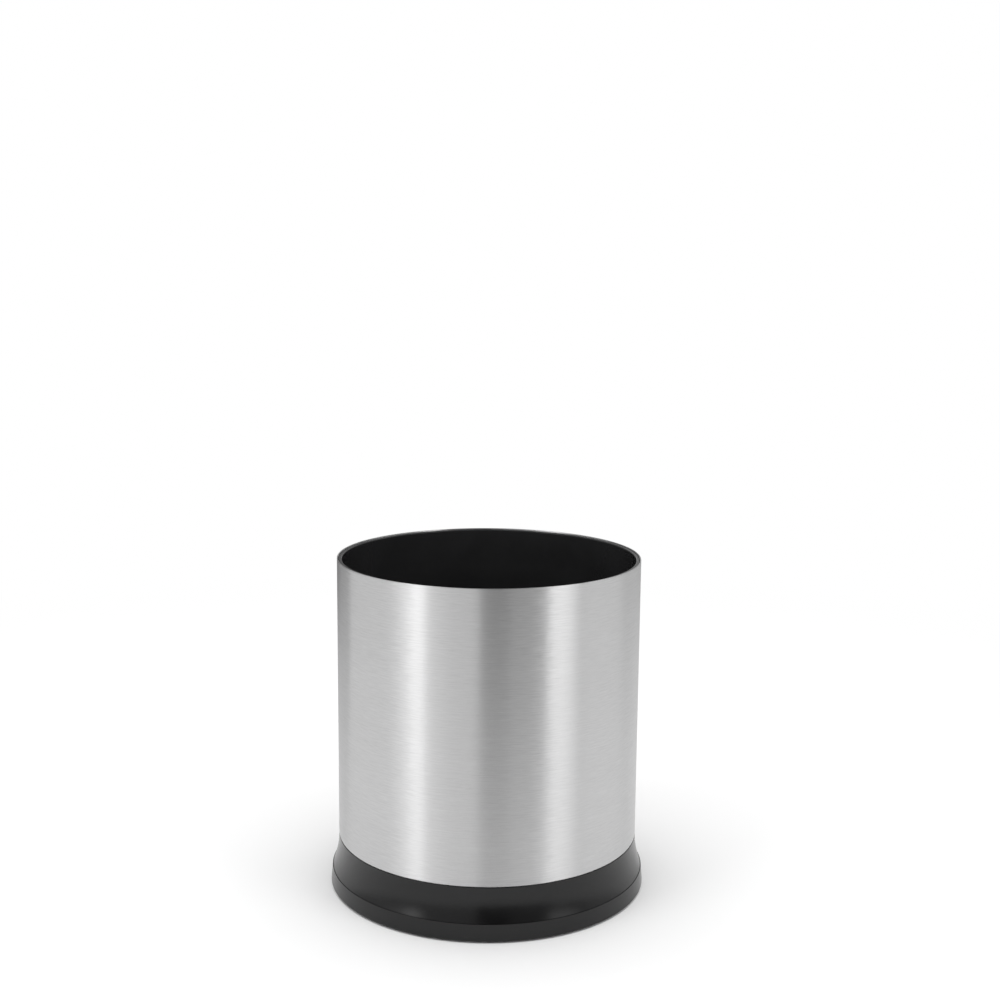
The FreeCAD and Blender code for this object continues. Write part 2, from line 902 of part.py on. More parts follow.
def build():
    """Make the document and return the bodies, one for each piece."""
    doc = FreeCAD.newDocument("utensil_holder")
    fill_sheet(doc)
    turn = "first_panel_degrees"
    base_pan(doc)
    foot_ring(doc)
    race(doc, "lower_race", "seat_top", "lower_centre", 1)
    race_screws(doc, "lower_race_screws", "seat_top", 1)
    pivot_bush(doc)
    ball_cage(doc)
    bearing_balls(doc)
    turntable(doc, turn)
    race(doc, "upper_race", "deck_under", "upper_centre", -1, turn)
    race_screws(doc, "upper_race_screws", "deck_under", -1, turn)
    pivot_washer(doc)
    pan_screw(
        doc,
        "pivot_screw",
        "pivot_shank",
        "pivot_head",
        "pivot_head_height",
        "washer_low",
        "pivot_length",
    )
    steel_sleeve(doc)
    cup = inner_cup(doc, turn)
    cup_bosses(cup)
    pan_screw(
        doc,
        "cup_screws",
        "cup_shank",
        "cup_head",
        "cup_head_height",
        "deck_under",
        "cup_length",
        circle="cup_screw_circle",
        count="cup_screw_count",
        degrees=turn,
    )
    divider_hub(doc, turn)
    pan_screw(doc, "hub_screw", "hub_shank", "hub_head", "hub_head_height", "cup_under", "hub_length")
    for index, letter in enumerate(PANEL_LETTERS):
        divider_wall(doc, letter, f"{turn} + {index * PANEL_STEP_DEGREES}")
    doc.recompute()
    return doc


def check(doc):
    """Stop if any object failed or any piece has no sound shape."""
    for item in doc.Objects:
        if {"Invalid", "Error"} & set(item.State):
            raise ValueError(f"{item.Label} failed: {item.State}")
    for body in doc.findObjects("PartDesign::Body"):
        if body.Shape.isNull() or not body.Shape.isValid():
            raise ValueError(f"{body.Label} has no valid shape")


def write(doc):
    """Write each piece to its own file and print what it holds."""
    os.makedirs("parts", exist_ok=True)
    for body in doc.findObjects("PartDesign::Body"):
        body.Shape.exportStep(f"parts/{body.Label}.step")
        box = body.Shape.optimalBoundingBox()
        print(
            f"{body.Label}: {len(body.Shape.Solids)} solid(s), {body.Shape.Volume:.0f} mm3, "
            f"radius {max(box.XMax, -box.XMin, box.YMax, -box.YMin):.2f}, z {box.ZMin:.2f} to {box.ZMax:.2f}"
        )


model = build()
check(model)
write(model)
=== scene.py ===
"""Looks of the rotating utensil holder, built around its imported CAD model.

The steel sleeve, the mouldings and the lift-out walls are modelled again with smooth, rounded
surfaces and stand for their CAD nodes. The bearing and the screws stay CAD nodes and get their
finishes here. Lengths are metres, Z is up and the origin is on the table under the base.
"""

import json
import logging
import math
from dataclasses import dataclass
from enum import Enum
from typing import Callable, Iterable, NamedTuple, Sequence

import bmesh
import bpy
from mathutils import Matrix, Vector
from mathutils.kdtree import KDTree

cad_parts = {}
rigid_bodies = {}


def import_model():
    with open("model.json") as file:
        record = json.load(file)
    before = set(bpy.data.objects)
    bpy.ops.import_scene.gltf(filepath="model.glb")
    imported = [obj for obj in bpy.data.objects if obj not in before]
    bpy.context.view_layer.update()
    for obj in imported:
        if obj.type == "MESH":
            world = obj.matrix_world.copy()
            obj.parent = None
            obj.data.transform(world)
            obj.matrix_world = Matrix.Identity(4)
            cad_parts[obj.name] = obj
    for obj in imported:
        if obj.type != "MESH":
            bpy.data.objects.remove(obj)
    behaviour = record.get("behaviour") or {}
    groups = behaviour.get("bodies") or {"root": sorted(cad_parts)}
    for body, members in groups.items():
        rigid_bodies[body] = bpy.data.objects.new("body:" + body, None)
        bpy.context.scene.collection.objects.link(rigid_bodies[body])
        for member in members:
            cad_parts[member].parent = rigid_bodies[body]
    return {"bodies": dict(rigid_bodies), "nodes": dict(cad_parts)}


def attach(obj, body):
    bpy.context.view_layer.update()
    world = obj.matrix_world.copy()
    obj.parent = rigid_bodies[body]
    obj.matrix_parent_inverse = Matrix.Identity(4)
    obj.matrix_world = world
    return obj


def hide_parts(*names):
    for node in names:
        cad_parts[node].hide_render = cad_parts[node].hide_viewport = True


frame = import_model()

log = logging.getLogger("utensil_holder")

FULL_TURN = 2 * math.pi
SEED_SIZE = 0.002
SAME_PLACE = 2e-6
WELD_DISTANCE = 1e-7
SMOOTH_ANGLE = math.radians(32)
ROUND_STEPS = 288
PANEL_ANGLES = (90.0, 210.0, 330.0)
WRAP_MAP = "around_and_along"
NOISE_MIDDLE = 0.5
WHITE = (1.0, 1.0, 1.0, 1.0)


class Joining(Enum):
    """What a tool body does to the piece that it meets."""

    ADD = "UNION"
    CUT = "DIFFERENCE"


class Body(Enum):
    """Bodies of the frame that the modelled pieces ride on."""

    BASE = "base"
    TURRET = "turret"
    WALL_A = "wall_a"
    WALL_B = "wall_b"
    WALL_C = "wall_c"


class Slot(Enum):
    """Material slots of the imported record."""

    STEEL = "brushed_sleeve"
    SHELL = "black_shell"
    CUP = "black_cup"
    RING = "soft_ring"
    RACE = "race_steel"
    BALL = "ball_steel"
    SCREW = "screw_steel"
    ACETAL = "acetal"


class Corner(NamedTuple):
    """A corner of an outline, with the radius that rounds it and the facets of that rounding."""

    across: float
    up: float
    rounding: float = 0.0
    facets: int = 6


def arc(across: float, up: float, radius: float, first: float, last: float, facets: int) -> list[Corner]:
    """Corners along an arc about a centre.

    Args:
        across: Centre's distance from the axis.
        up: Centre's height.
        radius: Radius of the arc.
        first: Angle of the first corner, in degrees from the outward direction.
        last: Angle of the last corner.
        facets: Number of straight pieces.

    Returns:
        The corners, both ends included.
    """
    corners = []
    for index in range(facets + 1):
        angle = math.radians(first + (last - first) * index / facets)
        corners.append(Corner(across + radius * math.cos(angle), up + radius * math.sin(angle)))
    return corners


class Bench:
    """Modelling steps on one object at a time, done with Blender's own operators."""

    @staticmethod
    def release() -> None:
        """Leaves edit mode and deselects everything."""
        if bpy.context.object and bpy.context.object.mode != "OBJECT":
            bpy.ops.object.mode_set(mode="OBJECT")
        bpy.ops.object.select_all(action="DESELECT")

    @staticmethod
    def take(piece: bpy.types.Object) -> None:
        """Makes a piece the only selected and the active object.

        Args:
            piece: The piece.
        """
        Bench.release()
        piece.select_set(True)
        bpy.context.view_layer.objects.active = piece

    @staticmethod
    def edit(piece: bpy.types.Object, select_all: bool = True) -> None:
        """Opens a piece in edit mode.

        Args:
            piece: The piece.
            select_all: Whether all of it is selected, or none of it.
        """
        Bench.take(piece)
        bpy.ops.object.mode_set(mode="EDIT")
        bpy.ops.mesh.select_mode(type="VERT")
        bpy.ops.mesh.select_all(action="SELECT" if select_all else "DESELECT")

    @staticmethod
    def close(piece: bpy.types.Object) -> bpy.types.Object:
        """Leaves edit mode and moves the piece's own place into its mesh.

        Args:
            piece: The piece.

        Returns:
            The same piece.
        """
        Bench.take(piece)
        bpy.ops.object.transform_apply(location=True, rotation=True, scale=True)
        return piece

    @staticmethod
    def pick_points(piece: bpy.types.Object, test: Callable[[Vector], bool]) -> None:
        """Selects the vertices whose place passes a test, in edit mode.

        Args:
            piece: The object in edit mode.
            test: Takes a vertex's place in the frame and says whether to select it.
        """
        bpy.ops.mesh.select_all(action="DESELECT")
        mesh = bmesh.from_edit_mesh(piece.data)
        for vertex in mesh.verts:
            if test(piece.matrix_world @ vertex.co):
                vertex.select_set(True)
        mesh.select_flush_mode()
        bmesh.update_edit_mesh(piece.data)

    @staticmethod
    def pick_edges(piece: bpy.types.Object, test: Callable[[Vector, Vector], bool]) -> None:
        """Selects the edges whose two ends pass a test, in edit mode.

        Args:
            piece: The object in edit mode.
            test: Takes the places of an edge's ends and says whether to select it.
        """
        bpy.ops.mesh.select_mode(type="EDGE")
        bpy.ops.mesh.select_all(action="DESELECT")
        mesh = bmesh.from_edit_mesh(piece.data)
        for edge in mesh.edges:
            ends = [piece.matrix_world @ vertex.co for vertex in edge.verts]
            if test(*ends):
                edge.select_set(True)
        bmesh.update_edit_mesh(piece.data)

    @staticmethod
    def outline(name: str, corners: Sequence[Corner], closed: bool = True) -> bpy.types.Object:
        """Draws an outline in the XZ plane by extruding one vertex from corner to corner.

        Args:
            name: Name of the new object.
            corners: The corners in order.
            closed: Whether the last corner is joined to the first.

        Returns:
            The object, in edit mode.
        """
        Bench.release()
        start = corners[0]
        bpy.ops.mesh.primitive_plane_add(size=SEED_SIZE, location=(start.across, 0.0, start.up))
        piece = bpy.context.object
        piece.name = name
        piece.data.name = name
        Bench.edit(piece)
        bpy.ops.mesh.merge(type="CENTER")
        for here, there in zip(corners, corners[1:]):
            step = (there.across - here.across, 0.0, there.up - here.up)
            bpy.ops.mesh.extrude_region_move(TRANSFORM_OT_translate={"value": step})
        if closed:
            Bench.pick_points(piece, Bench.near([corners[0], corners[-1]]))
            bpy.ops.mesh.edge_face_add()
        roundings = sorted({(corner.rounding, corner.facets) for corner in corners if corner.rounding})
        for rounding, facets in roundings:
            group = [corner for corner in corners if corner[2:] == (rounding, facets)]
            Bench.pick_points(piece, Bench.near(group))
            bpy.ops.mesh.bevel(
                offset=rounding, offset_type="OFFSET", segments=facets, affect="VERTICES"
            )
        return piece

    @staticmethod
    def near(corners: Iterable[Corner]) -> Callable[[Vector], bool]:
        """Returns a test for points that lie on one of the corners."""
        places = [Vector((corner.across, 0.0, corner.up)) for corner in corners]
        return lambda point: any((point - place).length < SAME_PLACE for place in places)

    @staticmethod
    def turned(
        name: str, corners: Sequence[Corner], closed: bool = True, steps: int = ROUND_STEPS
    ) -> bpy.types.Object:
        """Spins an outline about the Z axis into a closed body.

        Args:
            name: Name of the new object.
            corners: The outline's corners, from axis to axis if it isn't closed.
            closed: Whether the outline closes on itself.
            steps: Number of facets round the axis.

        Returns:
            The turned object.
        """
        piece = Bench.outline(name, corners, closed)
        bpy.ops.mesh.select_all(action="SELECT")
        bpy.ops.mesh.spin(steps=steps, angle=FULL_TURN, center=(0, 0, 0), axis=(0, 0, 1))
        Bench.heal(piece, SAME_PLACE)
        return Bench.close(piece)

    @staticmethod
    def heal(piece: bpy.types.Object, distance: float = WELD_DISTANCE) -> None:
        """Merges doubled vertices and points the faces outwards, and stays in edit mode.

        Args:
            piece: The piece.
            distance: Vertices nearer than this are merged.
        """
        Bench.edit(piece)
        bpy.ops.mesh.remove_doubles(threshold=distance)
        bpy.ops.mesh.select_all(action="SELECT")
        bpy.ops.mesh.normals_make_consistent(inside=False)

    @staticmethod
    def block(name: str, low: Sequence[float], high: Sequence[float]) -> bpy.types.Object:
        """Makes a block between two corners, for its edges to be shaped.

        Args:
            name: Name of the new object.
            low: Its lowest corner.
            high: Its highest corner.

        Returns:
            The block, in edit mode with nothing selected.
        """
        Bench.release()
        middle = [(a + b) / 2 for a, b in zip(low, high)]
        extent = [b - a for a, b in zip(low, high)]
        bpy.ops.mesh.primitive_cube_add(size=1.0, location=middle, scale=extent)
        piece = Bench.close(bpy.context.object)
        piece.name = name
        piece.data.name = name
        Bench.edit(piece, select_all=False)
        return piece

    @staticmethod
    def ring_of(piece: bpy.types.Object, count: int, start: float) -> bpy.types.Object:
        """Repeats a piece evenly round the Z axis within its own mesh.

        Args:
            piece: The piece, modelled on the +X side.
            count: Number of places round the axis.
            start: Angle of the first place, in degrees.

        Returns:
            The same piece.
        """
        Bench.edit(piece)
        bpy.ops.mesh.spin(
            steps=count - 1,
            angle=FULL_TURN * (count - 1) / count,
            center=(0, 0, 0),
            axis=(0, 0, 1),
            dupli=True,
        )
        Bench.close(piece)
        piece.data.transform(Matrix.Rotation(math.radians(start), 4, "Z"))
        return piece

    @staticmethod
    def combine(piece: bpy.types.Object, tool: bpy.types.Object, how: Joining) -> None:
        """Adds a tool body to a piece or cuts it out of the piece, and removes the tool.

        Args:
            piece: The piece that stays.
            tool: The body that it meets.
            how: Whether the tool adds or cuts.
        """
        Bench.take(piece)
        modifier = piece.modifiers.new(tool.name, "BOOLEAN")
        modifier.operation = how.value
        modifier.solver = "EXACT"
        modifier.object = tool
        bpy.ops.object.modifier_apply(modifier=modifier.name)
        bpy.data.objects.remove(tool)

    @staticmethod
    def smooth(piece: bpy.types.Object) -> None:
        """Shades a piece smooth between its sharp edges, with its flat faces kept flat.

        Args:
            piece: The piece.
        """
        Bench.take(piece)
        bpy.ops.object.shade_smooth_by_angle(angle=SMOOTH_ANGLE)
        modifier = piece.modifiers.new("even_faces", "WEIGHTED_NORMAL")
        modifier.keep_sharp = True
        bpy.ops.object.modifier_apply(modifier=modifier.name)
        Bench.release()


class Board:
    """The node board of one material or of the world."""

    def __init__(self, tree: bpy.types.NodeTree) -> None:
        """Clears a node tree and keeps it for wiring."""
        self.tree = tree
        tree.nodes.clear()

    def add(self, kind: str, inputs: dict | None = None, **settings: object) -> bpy.types.Node:
        """Adds a node.

        Args:
            kind: The node's type name after "ShaderNode".
            inputs: Socket name to a plain value or to an output socket that feeds it.
            **settings: Node properties.

        Returns:
            The new node.
        """
        node = self.tree.nodes.new(f"ShaderNode{kind}")
        for name, setting in settings.items():
            setattr(node, name, setting)
        for name, value in (inputs or {}).items():
            socket = node.inputs[name]
            if isinstance(value, bpy.types.NodeSocket):
                self.tree.links.new(value, socket)
            else:
                socket.default_value = value
        return node

    def noise(
        self, vector: bpy.types.NodeSocket, scale: float, detail: float = 3.0, roughness: float = 0.55
    ) -> bpy.types.NodeSocket:
        """Adds a noise texture and returns its factor.

        Args:
            vector: Coordinates that it reads.
            scale: Features per unit of the coordinates.
            detail: Octaves of finer noise.
            roughness: Share of each finer octave.

        Returns:
            The noise factor, around NOISE_MIDDLE.
        """
        node = self.add(
            "TexNoise",
            {"Vector": vector, "Scale": scale, "Detail": detail, "Roughness": roughness},
        )
        return node.outputs["Fac"]

    def spread(self, value: bpy.types.NodeSocket, source: tuple, target: tuple) -> bpy.types.NodeSocket:
        """Maps a value from one range to another.

        Args:
            value: The value.
            source: Its lowest and highest input.
            target: The outputs at these.

        Returns:
            The mapped value.
        """
        node = self.add(
            "MapRange",
            {
                "Value": value,
                "From Min": source[0],
                "From Max": source[1],
                "To Min": target[0],
                "To Max": target[1],
            },
        )
        return node.outputs["Result"]

    def math(self, operation: str, *values: object) -> bpy.types.NodeSocket:
        """Adds a math node.

        Args:
            operation: Its operation.
            *values: Plain values, or output sockets that feed it, in the order of its inputs.

        Returns:
            The result.
        """
        node = self.add("Math", operation=operation)
        for socket, value in zip(node.inputs, values):
            if isinstance(value, bpy.types.NodeSocket):
                self.tree.links.new(value, socket)
            else:
                socket.default_value = value
        return node.outputs["Value"]

    def shade(
        self, factor: bpy.types.NodeSocket, dark: Sequence[float], light: Sequence[float]
    ) -> bpy.types.NodeSocket:
        """Mixes two colours by a factor.

        Args:
            factor: 0 for dark, 1 for light.
            dark: Linear RGB at 0.
            light: Linear RGB at 1.

        Returns:
            The mixed colour.
        """
        node = self.add("Mix", data_type="RGBA")
        sockets = {socket.identifier: socket for socket in node.inputs}
        self.tree.links.new(factor, sockets["Factor_Float"])
        sockets["A_Color"].default_value = (*dark, 1.0)
        sockets["B_Color"].default_value = (*light, 1.0)
        return next(socket for socket in node.outputs if socket.identifier == "Result_Color")

    def bump(
        self,
        height: bpy.types.NodeSocket,
        strength: float,
        distance: float,
        under: bpy.types.NodeSocket | None = None,
    ) -> bpy.types.NodeSocket:
        """Turns a height into a surface normal.

        Args:
            height: Height from 0 to 1.
            strength: Share of the effect.
            distance: Depth of height 1, in metres.
            under: Normal that it adds to.

        Returns:
            The normal.
        """
        inputs = {"Height": height, "Strength": strength, "Distance": distance}
        if under is not None:
            inputs["Normal"] = under
        return self.add("Bump", inputs).outputs["Normal"]

    def finish(self, **inputs: object) -> None:
        """Adds the Principled shader and wires it to the material's output.

        Args:
            **inputs: The shader's inputs, with an underscore for each space in a name.
        """
        named = {name.replace("_", " "): value for name, value in inputs.items()}
        shader = self.add("BsdfPrincipled", named)
        self.add("OutputMaterial", {"Surface": shader.outputs["BSDF"]})


@dataclass(frozen=True)
class Finish:
    """A procedural material that is made once and shared by pieces."""

    name: str

    def material(self) -> bpy.types.Material:
        """Makes the Blender material at the first call.

        Returns:
            The material.
        """
        made = bpy.data.materials.get(self.name)
        if made is None:
            made = bpy.data.materials.new(self.name)
            made.use_nodes = True
            self.wire(Board(made.node_tree))
        return made

    def wire(self, board: Board) -> None:
        """Builds the nodes on an empty board."""
        raise NotImplementedError

    def coat(self, piece: bpy.types.Object) -> None:
        """Puts the finish on every slot of a piece.

        Args:
            piece: The piece.
        """
        if not piece.data.materials:
            piece.data.materials.append(self.material())
        for index in range(len(piece.data.materials)):
            piece.data.materials[index] = self.material()


@dataclass(frozen=True)
class BrushedSteel(Finish):
    """Stainless sheet brushed round the cylinder, with a ground weld down its back.

    Around and along are the size of the sheet in metres, which its UV map covers from 0 to 1.
    """

    colour: tuple = (0.720, 0.720, 0.722)
    tone_swing: float = 0.035
    roughness: float = 0.385
    roughness_swing: float = 0.03
    anisotropy: float = 1.0
    brushing_turn: float = 0.25
    around: float = 0.5027
    along: float = 0.31
    line_length: float = 0.030
    line_width: float = 0.00022
    line_strength: float = 0.25
    line_depth: float = 0.000004
    band_length: float = 0.110
    band_width: float = 0.0016
    band_share: float = 0.5
    streak_range: tuple = (0.45, 1.05)
    weld_width: float = 0.0009
    weld_shade: float = 0.82
    tick_length: float = 0.008
    tick_width: float = 0.0006
    tick_grain: float = 0.15
    tick_tone: float = 0.40
    sway: float = 0.10
    sway_least: float = 0.4
    patch: float = 0.035
    patch_range: tuple = (0.35, 0.65)

    @staticmethod
    def streaks(
        board: Board, place: bpy.types.NodeSocket, length: float, width: float
    ) -> bpy.types.NodeSocket:
        """Adds noise that is drawn out round the cylinder.

        Args:
            board: The node board.
            place: Coordinates in metres round and along the sheet.
            length: Length of a streak.
            width: Width of a streak.

        Returns:
            The noise factor.
        """
        stretched = board.add(
            "Mapping", {"Vector": place, "Scale": (1.0 / length, 1.0 / width, 1.0)}
        )
        return board.noise(stretched.outputs["Vector"], 1.0, detail=4.0, roughness=0.62)

    def wire(self, board: Board) -> None:
        """Builds streaks and ticks in tone, roughness and height, and the weld's narrow line.

        Args:
            board: The empty board.
        """
        wrap = board.add("UVMap", uv_map=WRAP_MAP).outputs["UV"]
        metres = board.add("Mapping", {"Vector": wrap, "Scale": (self.around, self.along, 1.0)})
        place = metres.outputs["Vector"]
        lines = self.streaks(board, place, self.line_length, self.line_width)
        bands = self.streaks(board, place, self.band_length, self.band_width)
        both = board.math("MULTIPLY_ADD", bands, self.band_share, lines)
        tone = board.spread(both, self.streak_range, (0.0, 1.0))
        shade = board.shade(
            tone,
            [(1 - self.tone_swing) * part for part in self.colour],
            [(1 + self.tone_swing) * part for part in self.colour],
        )
        ticks = self.streaks(board, place, self.tick_length, self.tick_width)
        ticks = board.math("SUBTRACT", ticks, NOISE_MIDDLE)
        level = board.math("MULTIPLY_ADD", ticks, self.tick_tone, self.weld_line(board, wrap))
        colour = board.add("VectorMath", {0: shade, "Scale": level}, operation="SCALE")
        rough_range = (self.roughness + self.roughness_swing, self.roughness - self.roughness_swing)
        rough = board.spread(tone, (0.0, 1.0), rough_range)
        rough = board.math("MULTIPLY_ADD", ticks, self.tick_grain, rough)
        tangent = board.add("Tangent", direction_type="UV_MAP", uv_map=WRAP_MAP)
        swayed = self.swayed(board, place, ticks)
        board.finish(
            Base_Color=colour.outputs["Vector"],
            Metallic=1.0,
            Roughness=rough,
            Anisotropic=self.anisotropy,
            Anisotropic_Rotation=self.brushing_turn,
            Tangent=tangent.outputs["Tangent"],
            Normal=board.bump(both, self.line_strength, self.line_depth, swayed),
        )

    def weld_line(self, board: Board, wrap: bpy.types.NodeSocket) -> bpy.types.NodeSocket:
        """Adds the share that is left of the tone: 1, and less where the UV map starts and ends.

        Args:
            board: The node board.
            wrap: The sheet's UV map.

        Returns:
            The share.
        """
        round_share = board.add("SeparateXYZ", {"Vector": wrap}).outputs["X"]
        from_middle = board.math("ABSOLUTE", board.math("SUBTRACT", round_share, 0.5))
        to_weld = board.math("MULTIPLY", board.math("SUBTRACT", 0.5, from_middle), self.around)
        return board.spread(to_weld, (0.0, self.weld_width / 2), (self.weld_shade, 1.0))

    def swayed(
        self, board: Board, place: bpy.types.NodeSocket, ticks: bpy.types.NodeSocket
    ) -> bpy.types.NodeSocket:
        """Adds a normal that leans a little aside at each tick, more so in patches.

        Args:
            board: The node board.
            place: Coordinates in metres round and along the sheet.
            ticks: Height of the ticks, around 0.

        Returns:
            The normal.
        """
        sway_range = (self.sway_least * self.sway, self.sway)
        patches = board.spread(board.noise(place, 1.0 / self.patch), self.patch_range, sway_range)
        aside = board.math("MULTIPLY_ADD", ticks, patches, 0.5)
        lean = board.add("CombineXYZ", {"X": aside, "Y": 0.5, "Z": 1.0})
        return board.add("NormalMap", {"Color": lean.outputs["Vector"]}, uv_map=WRAP_MAP).outputs["Normal"]


@dataclass(frozen=True)
class Moulding(Finish):
    """Moulded plastic with a fine even grain, faint flow clouds and a few fine scuffs."""

    dark: tuple = (0.0030, 0.0030, 0.0032)
    light: tuple = (0.0042, 0.0042, 0.0045)
    roughness: float = 0.22
    roughness_swing: float = 0.03
    grain: float = 0.00035
    grain_depth: float = 0.000012
    cloud: float = 0.018
    index: float = 1.43
    bleed: float = 0.0
    bleed_depth: float = 0.001
    grain_strength: float = 0.35
    cloud_range: tuple = (0.3, 0.7)
    scuffing: float = 0.015
    scuff_turn: tuple = (0.4, 0.9, 0.3)
    scuffs_per_metre: tuple = (90.0, 2600.0, 90.0)
    scuff_range: tuple = (0.66, 0.74)

    def wire(self, board: Board) -> None:
        """Builds grain, clouds and scuffs on Object coordinates.

        Args:
            board: The empty board.
        """
        place = board.add("TexCoord").outputs["Object"]
        grain = board.noise(place, 1.0 / self.grain, detail=2.0)
        cloud = board.noise(place, 1.0 / self.cloud, detail=4.0)
        clouded = board.spread(cloud, self.cloud_range, (0.0, 1.0))
        turn = board.add(
            "Mapping",
            {"Vector": place, "Rotation": self.scuff_turn, "Scale": self.scuffs_per_metre},
        )
        scuff = board.noise(turn.outputs["Vector"], 1.0, detail=2.0)
        scuffs = board.spread(scuff, self.scuff_range, (0.0, 1.0))
        rough_range = (self.roughness - self.roughness_swing, self.roughness + self.roughness_swing)
        rough = board.spread(clouded, (0.0, 1.0), rough_range)
        board.finish(
            Base_Color=board.shade(clouded, self.dark, self.light),
            Roughness=board.math("MULTIPLY_ADD", scuffs, self.scuffing, rough),
            IOR=self.index,
            Subsurface_Weight=self.bleed,
            Subsurface_Radius=[self.bleed_depth] * 3,
            Normal=board.bump(grain, self.grain_strength, self.grain_depth),
        )


@dataclass(frozen=True)
class TurnedMetal(Finish):
    """Metal with fine lines turned about the holder's axis and a faint mottled plating."""

    dark: tuple = (0.40, 0.40, 0.41)
    light: tuple = (0.56, 0.56, 0.57)
    roughness: float = 0.32
    roughness_swing: float = 0.06
    line_width: float = 0.00012
    line_share: float = 0.5
    line_strength: float = 0.3
    line_depth: float = 0.000006
    mottle: float = 0.0025
    mottle_range: tuple = (0.3, 0.7)
    tone_range: tuple = (0.5, 1.0)

    def wire(self, board: Board) -> None:
        """Builds the lines from the distance to the axis, and the mottling.

        Args:
            board: The empty board.
        """
        place = board.add("TexCoord").outputs["Object"]
        flat = board.add("VectorMath", {0: place, 1: (1.0, 1.0, 0.0)}, operation="MULTIPLY")
        distance = board.add("VectorMath", {0: flat.outputs["Vector"]}, operation="LENGTH")
        height = board.add("SeparateXYZ", {"Vector": place}).outputs["Z"]
        across = board.add(
            "CombineXYZ", {"X": distance.outputs["Value"], "Y": height, "Z": 0.0}
        )
        lines = board.noise(across.outputs["Vector"], 1.0 / self.line_width, detail=2.0)
        mottle = board.noise(place, 1.0 / self.mottle, detail=5.0)
        both = board.math("MULTIPLY_ADD", lines, self.line_share, mottle)
        tone = board.spread(both, self.tone_range, (0.0, 1.0))
        rough_range = (self.roughness - self.roughness_swing, self.roughness + self.roughness_swing)
        board.finish(
            Base_Color=board.shade(tone, self.dark, self.light),
            Metallic=1.0,
            Roughness=board.spread(mottle, self.mottle_range, rough_range),
            Normal=board.bump(lines, self.line_strength, self.line_depth),
        )


@dataclass(frozen=True)
class Finishes:
    """Every finish of the holder."""

    steel: BrushedSteel = BrushedSteel("brushed_steel")
    shell: Moulding = Moulding("satin_black_shell")
    cup: Moulding = Moulding(
        "gloss_black_cup",
        dark=(0.0150, 0.0150, 0.0155),
        light=(0.0210, 0.0210, 0.0217),
        roughness=0.18,
        grain=0.0005,
        grain_depth=0.000008,
        cloud=0.03,
    )
    ring: Moulding = Moulding(
        "soft_grey_ring",
        dark=(0.016, 0.016, 0.017),
        light=(0.030, 0.030, 0.031),
        roughness=0.72,
        roughness_swing=0.08,
        grain=0.00022,
        grain_depth=0.00003,
        cloud=0.008,
        index=1.45,
    )
    acetal: Moulding = Moulding(
        "natural_acetal",
        dark=(0.66, 0.65, 0.61),
        light=(0.76, 0.75, 0.71),
        roughness=0.38,
        grain=0.0003,
        cloud=0.006,
        index=1.48,
        bleed=0.2,
    )
    race: TurnedMetal = TurnedMetal("stamped_race_steel")
    ball: TurnedMetal = TurnedMetal(
        "polished_ball_steel",
        dark=(0.52, 0.52, 0.53),
        light=(0.60, 0.60, 0.61),
        roughness=0.10,
        line_width=0.0006,
        mottle=0.0012,
        line_depth=0.000001,
    )
    screw: TurnedMetal = TurnedMetal(
        "zinc_plated_screw",
        dark=(0.42, 0.42, 0.45),
        light=(0.62, 0.62, 0.64),
        roughness=0.28,
        line_width=0.0003,
        mottle=0.0009,
    )


@dataclass
class Assembly:
    """A sub-assembly that models its pieces, dresses them and sets them on their bodies."""

    finishes: Finishes

    def place(
        self, piece: bpy.types.Object, body: Body, slot: Slot, finish: Finish, *nodes: str
    ) -> bpy.types.Object:
        """Finishes a modelled piece and lets it stand for its CAD nodes.

        Args:
            piece: The modelled piece.
            body: The body that it rides on.
            slot: The record's material slot; not used.
            finish: Its material.
            *nodes: The CAD nodes that it replaces.

        Returns:
            The piece.
        """
        Bench.smooth(piece)
        finish.coat(piece)
        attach(piece, body.value)
        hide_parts(*nodes)
        return piece

    def build(self) -> list[bpy.types.Object]:
        """Models and places every piece."""
        raise NotImplementedError


@dataclass(frozen=True)
class Pillars:
    """Round bosses or holes that stand evenly round the axis, at one distance from it."""

    name: str
    circle: float
    radius: float
    low: float
    high: float
    count: int
    start: float = 0.0
    foot_rounding: float = 0.0
    top_rounding: float = 0.0
    facets: int = 4
    steps: int = 40
    joining: Joining = Joining.CUT

    def shape(self, piece: bpy.types.Object) -> None:
        """Adds the bosses to a piece, or cuts the holes out of it.

        Args:
            piece: The piece.
        """
        corners = [
            Corner(0.0, self.low),
            Corner(self.radius, self.low, self.foot_rounding, self.facets),
            Corner(self.radius, self.high, self.top_rounding, self.facets),
            Corner(0.0, self.high),
        ]
        pillar = Bench.turned(self.name, corners, closed=False, steps=self.steps)
        pillar.data.transform(Matrix.Translation((self.circle, 0.0, 0.0)))
        Bench.combine(piece, Bench.ring_of(pillar, self.count, self.start), self.joining)


@dataclass(frozen=True)
class Ribs:
    """Ribs that run outwards evenly round the axis, the long edges at their free side rounded."""

    name: str
    near: float
    far: float
    low: float
    high: float
    count: int
    start: float
    hanging: bool = False
    gauge: float = 0.0016
    rounding: float = 0.0003
    facets: int = 3

    def shape(self, piece: bpy.types.Object) -> None:
        """Adds the ribs to a piece.

        Args:
            piece: The piece.
        """
        half = self.gauge / 2
        rib = Bench.block(self.name, (self.near, -half, self.low), (self.far, half, self.high))
        free = self.low if self.hanging else self.high
        Bench.pick_edges(
            rib, lambda a, b: max(abs(a.z - free), abs(b.z - free)) < SAME_PLACE and a.y * b.y > 0
        )
        bpy.ops.mesh.bevel(offset=self.rounding, segments=self.facets, affect="EDGES")
        Bench.combine(piece, Bench.ring_of(rib, self.count, self.start), Joining.ADD)


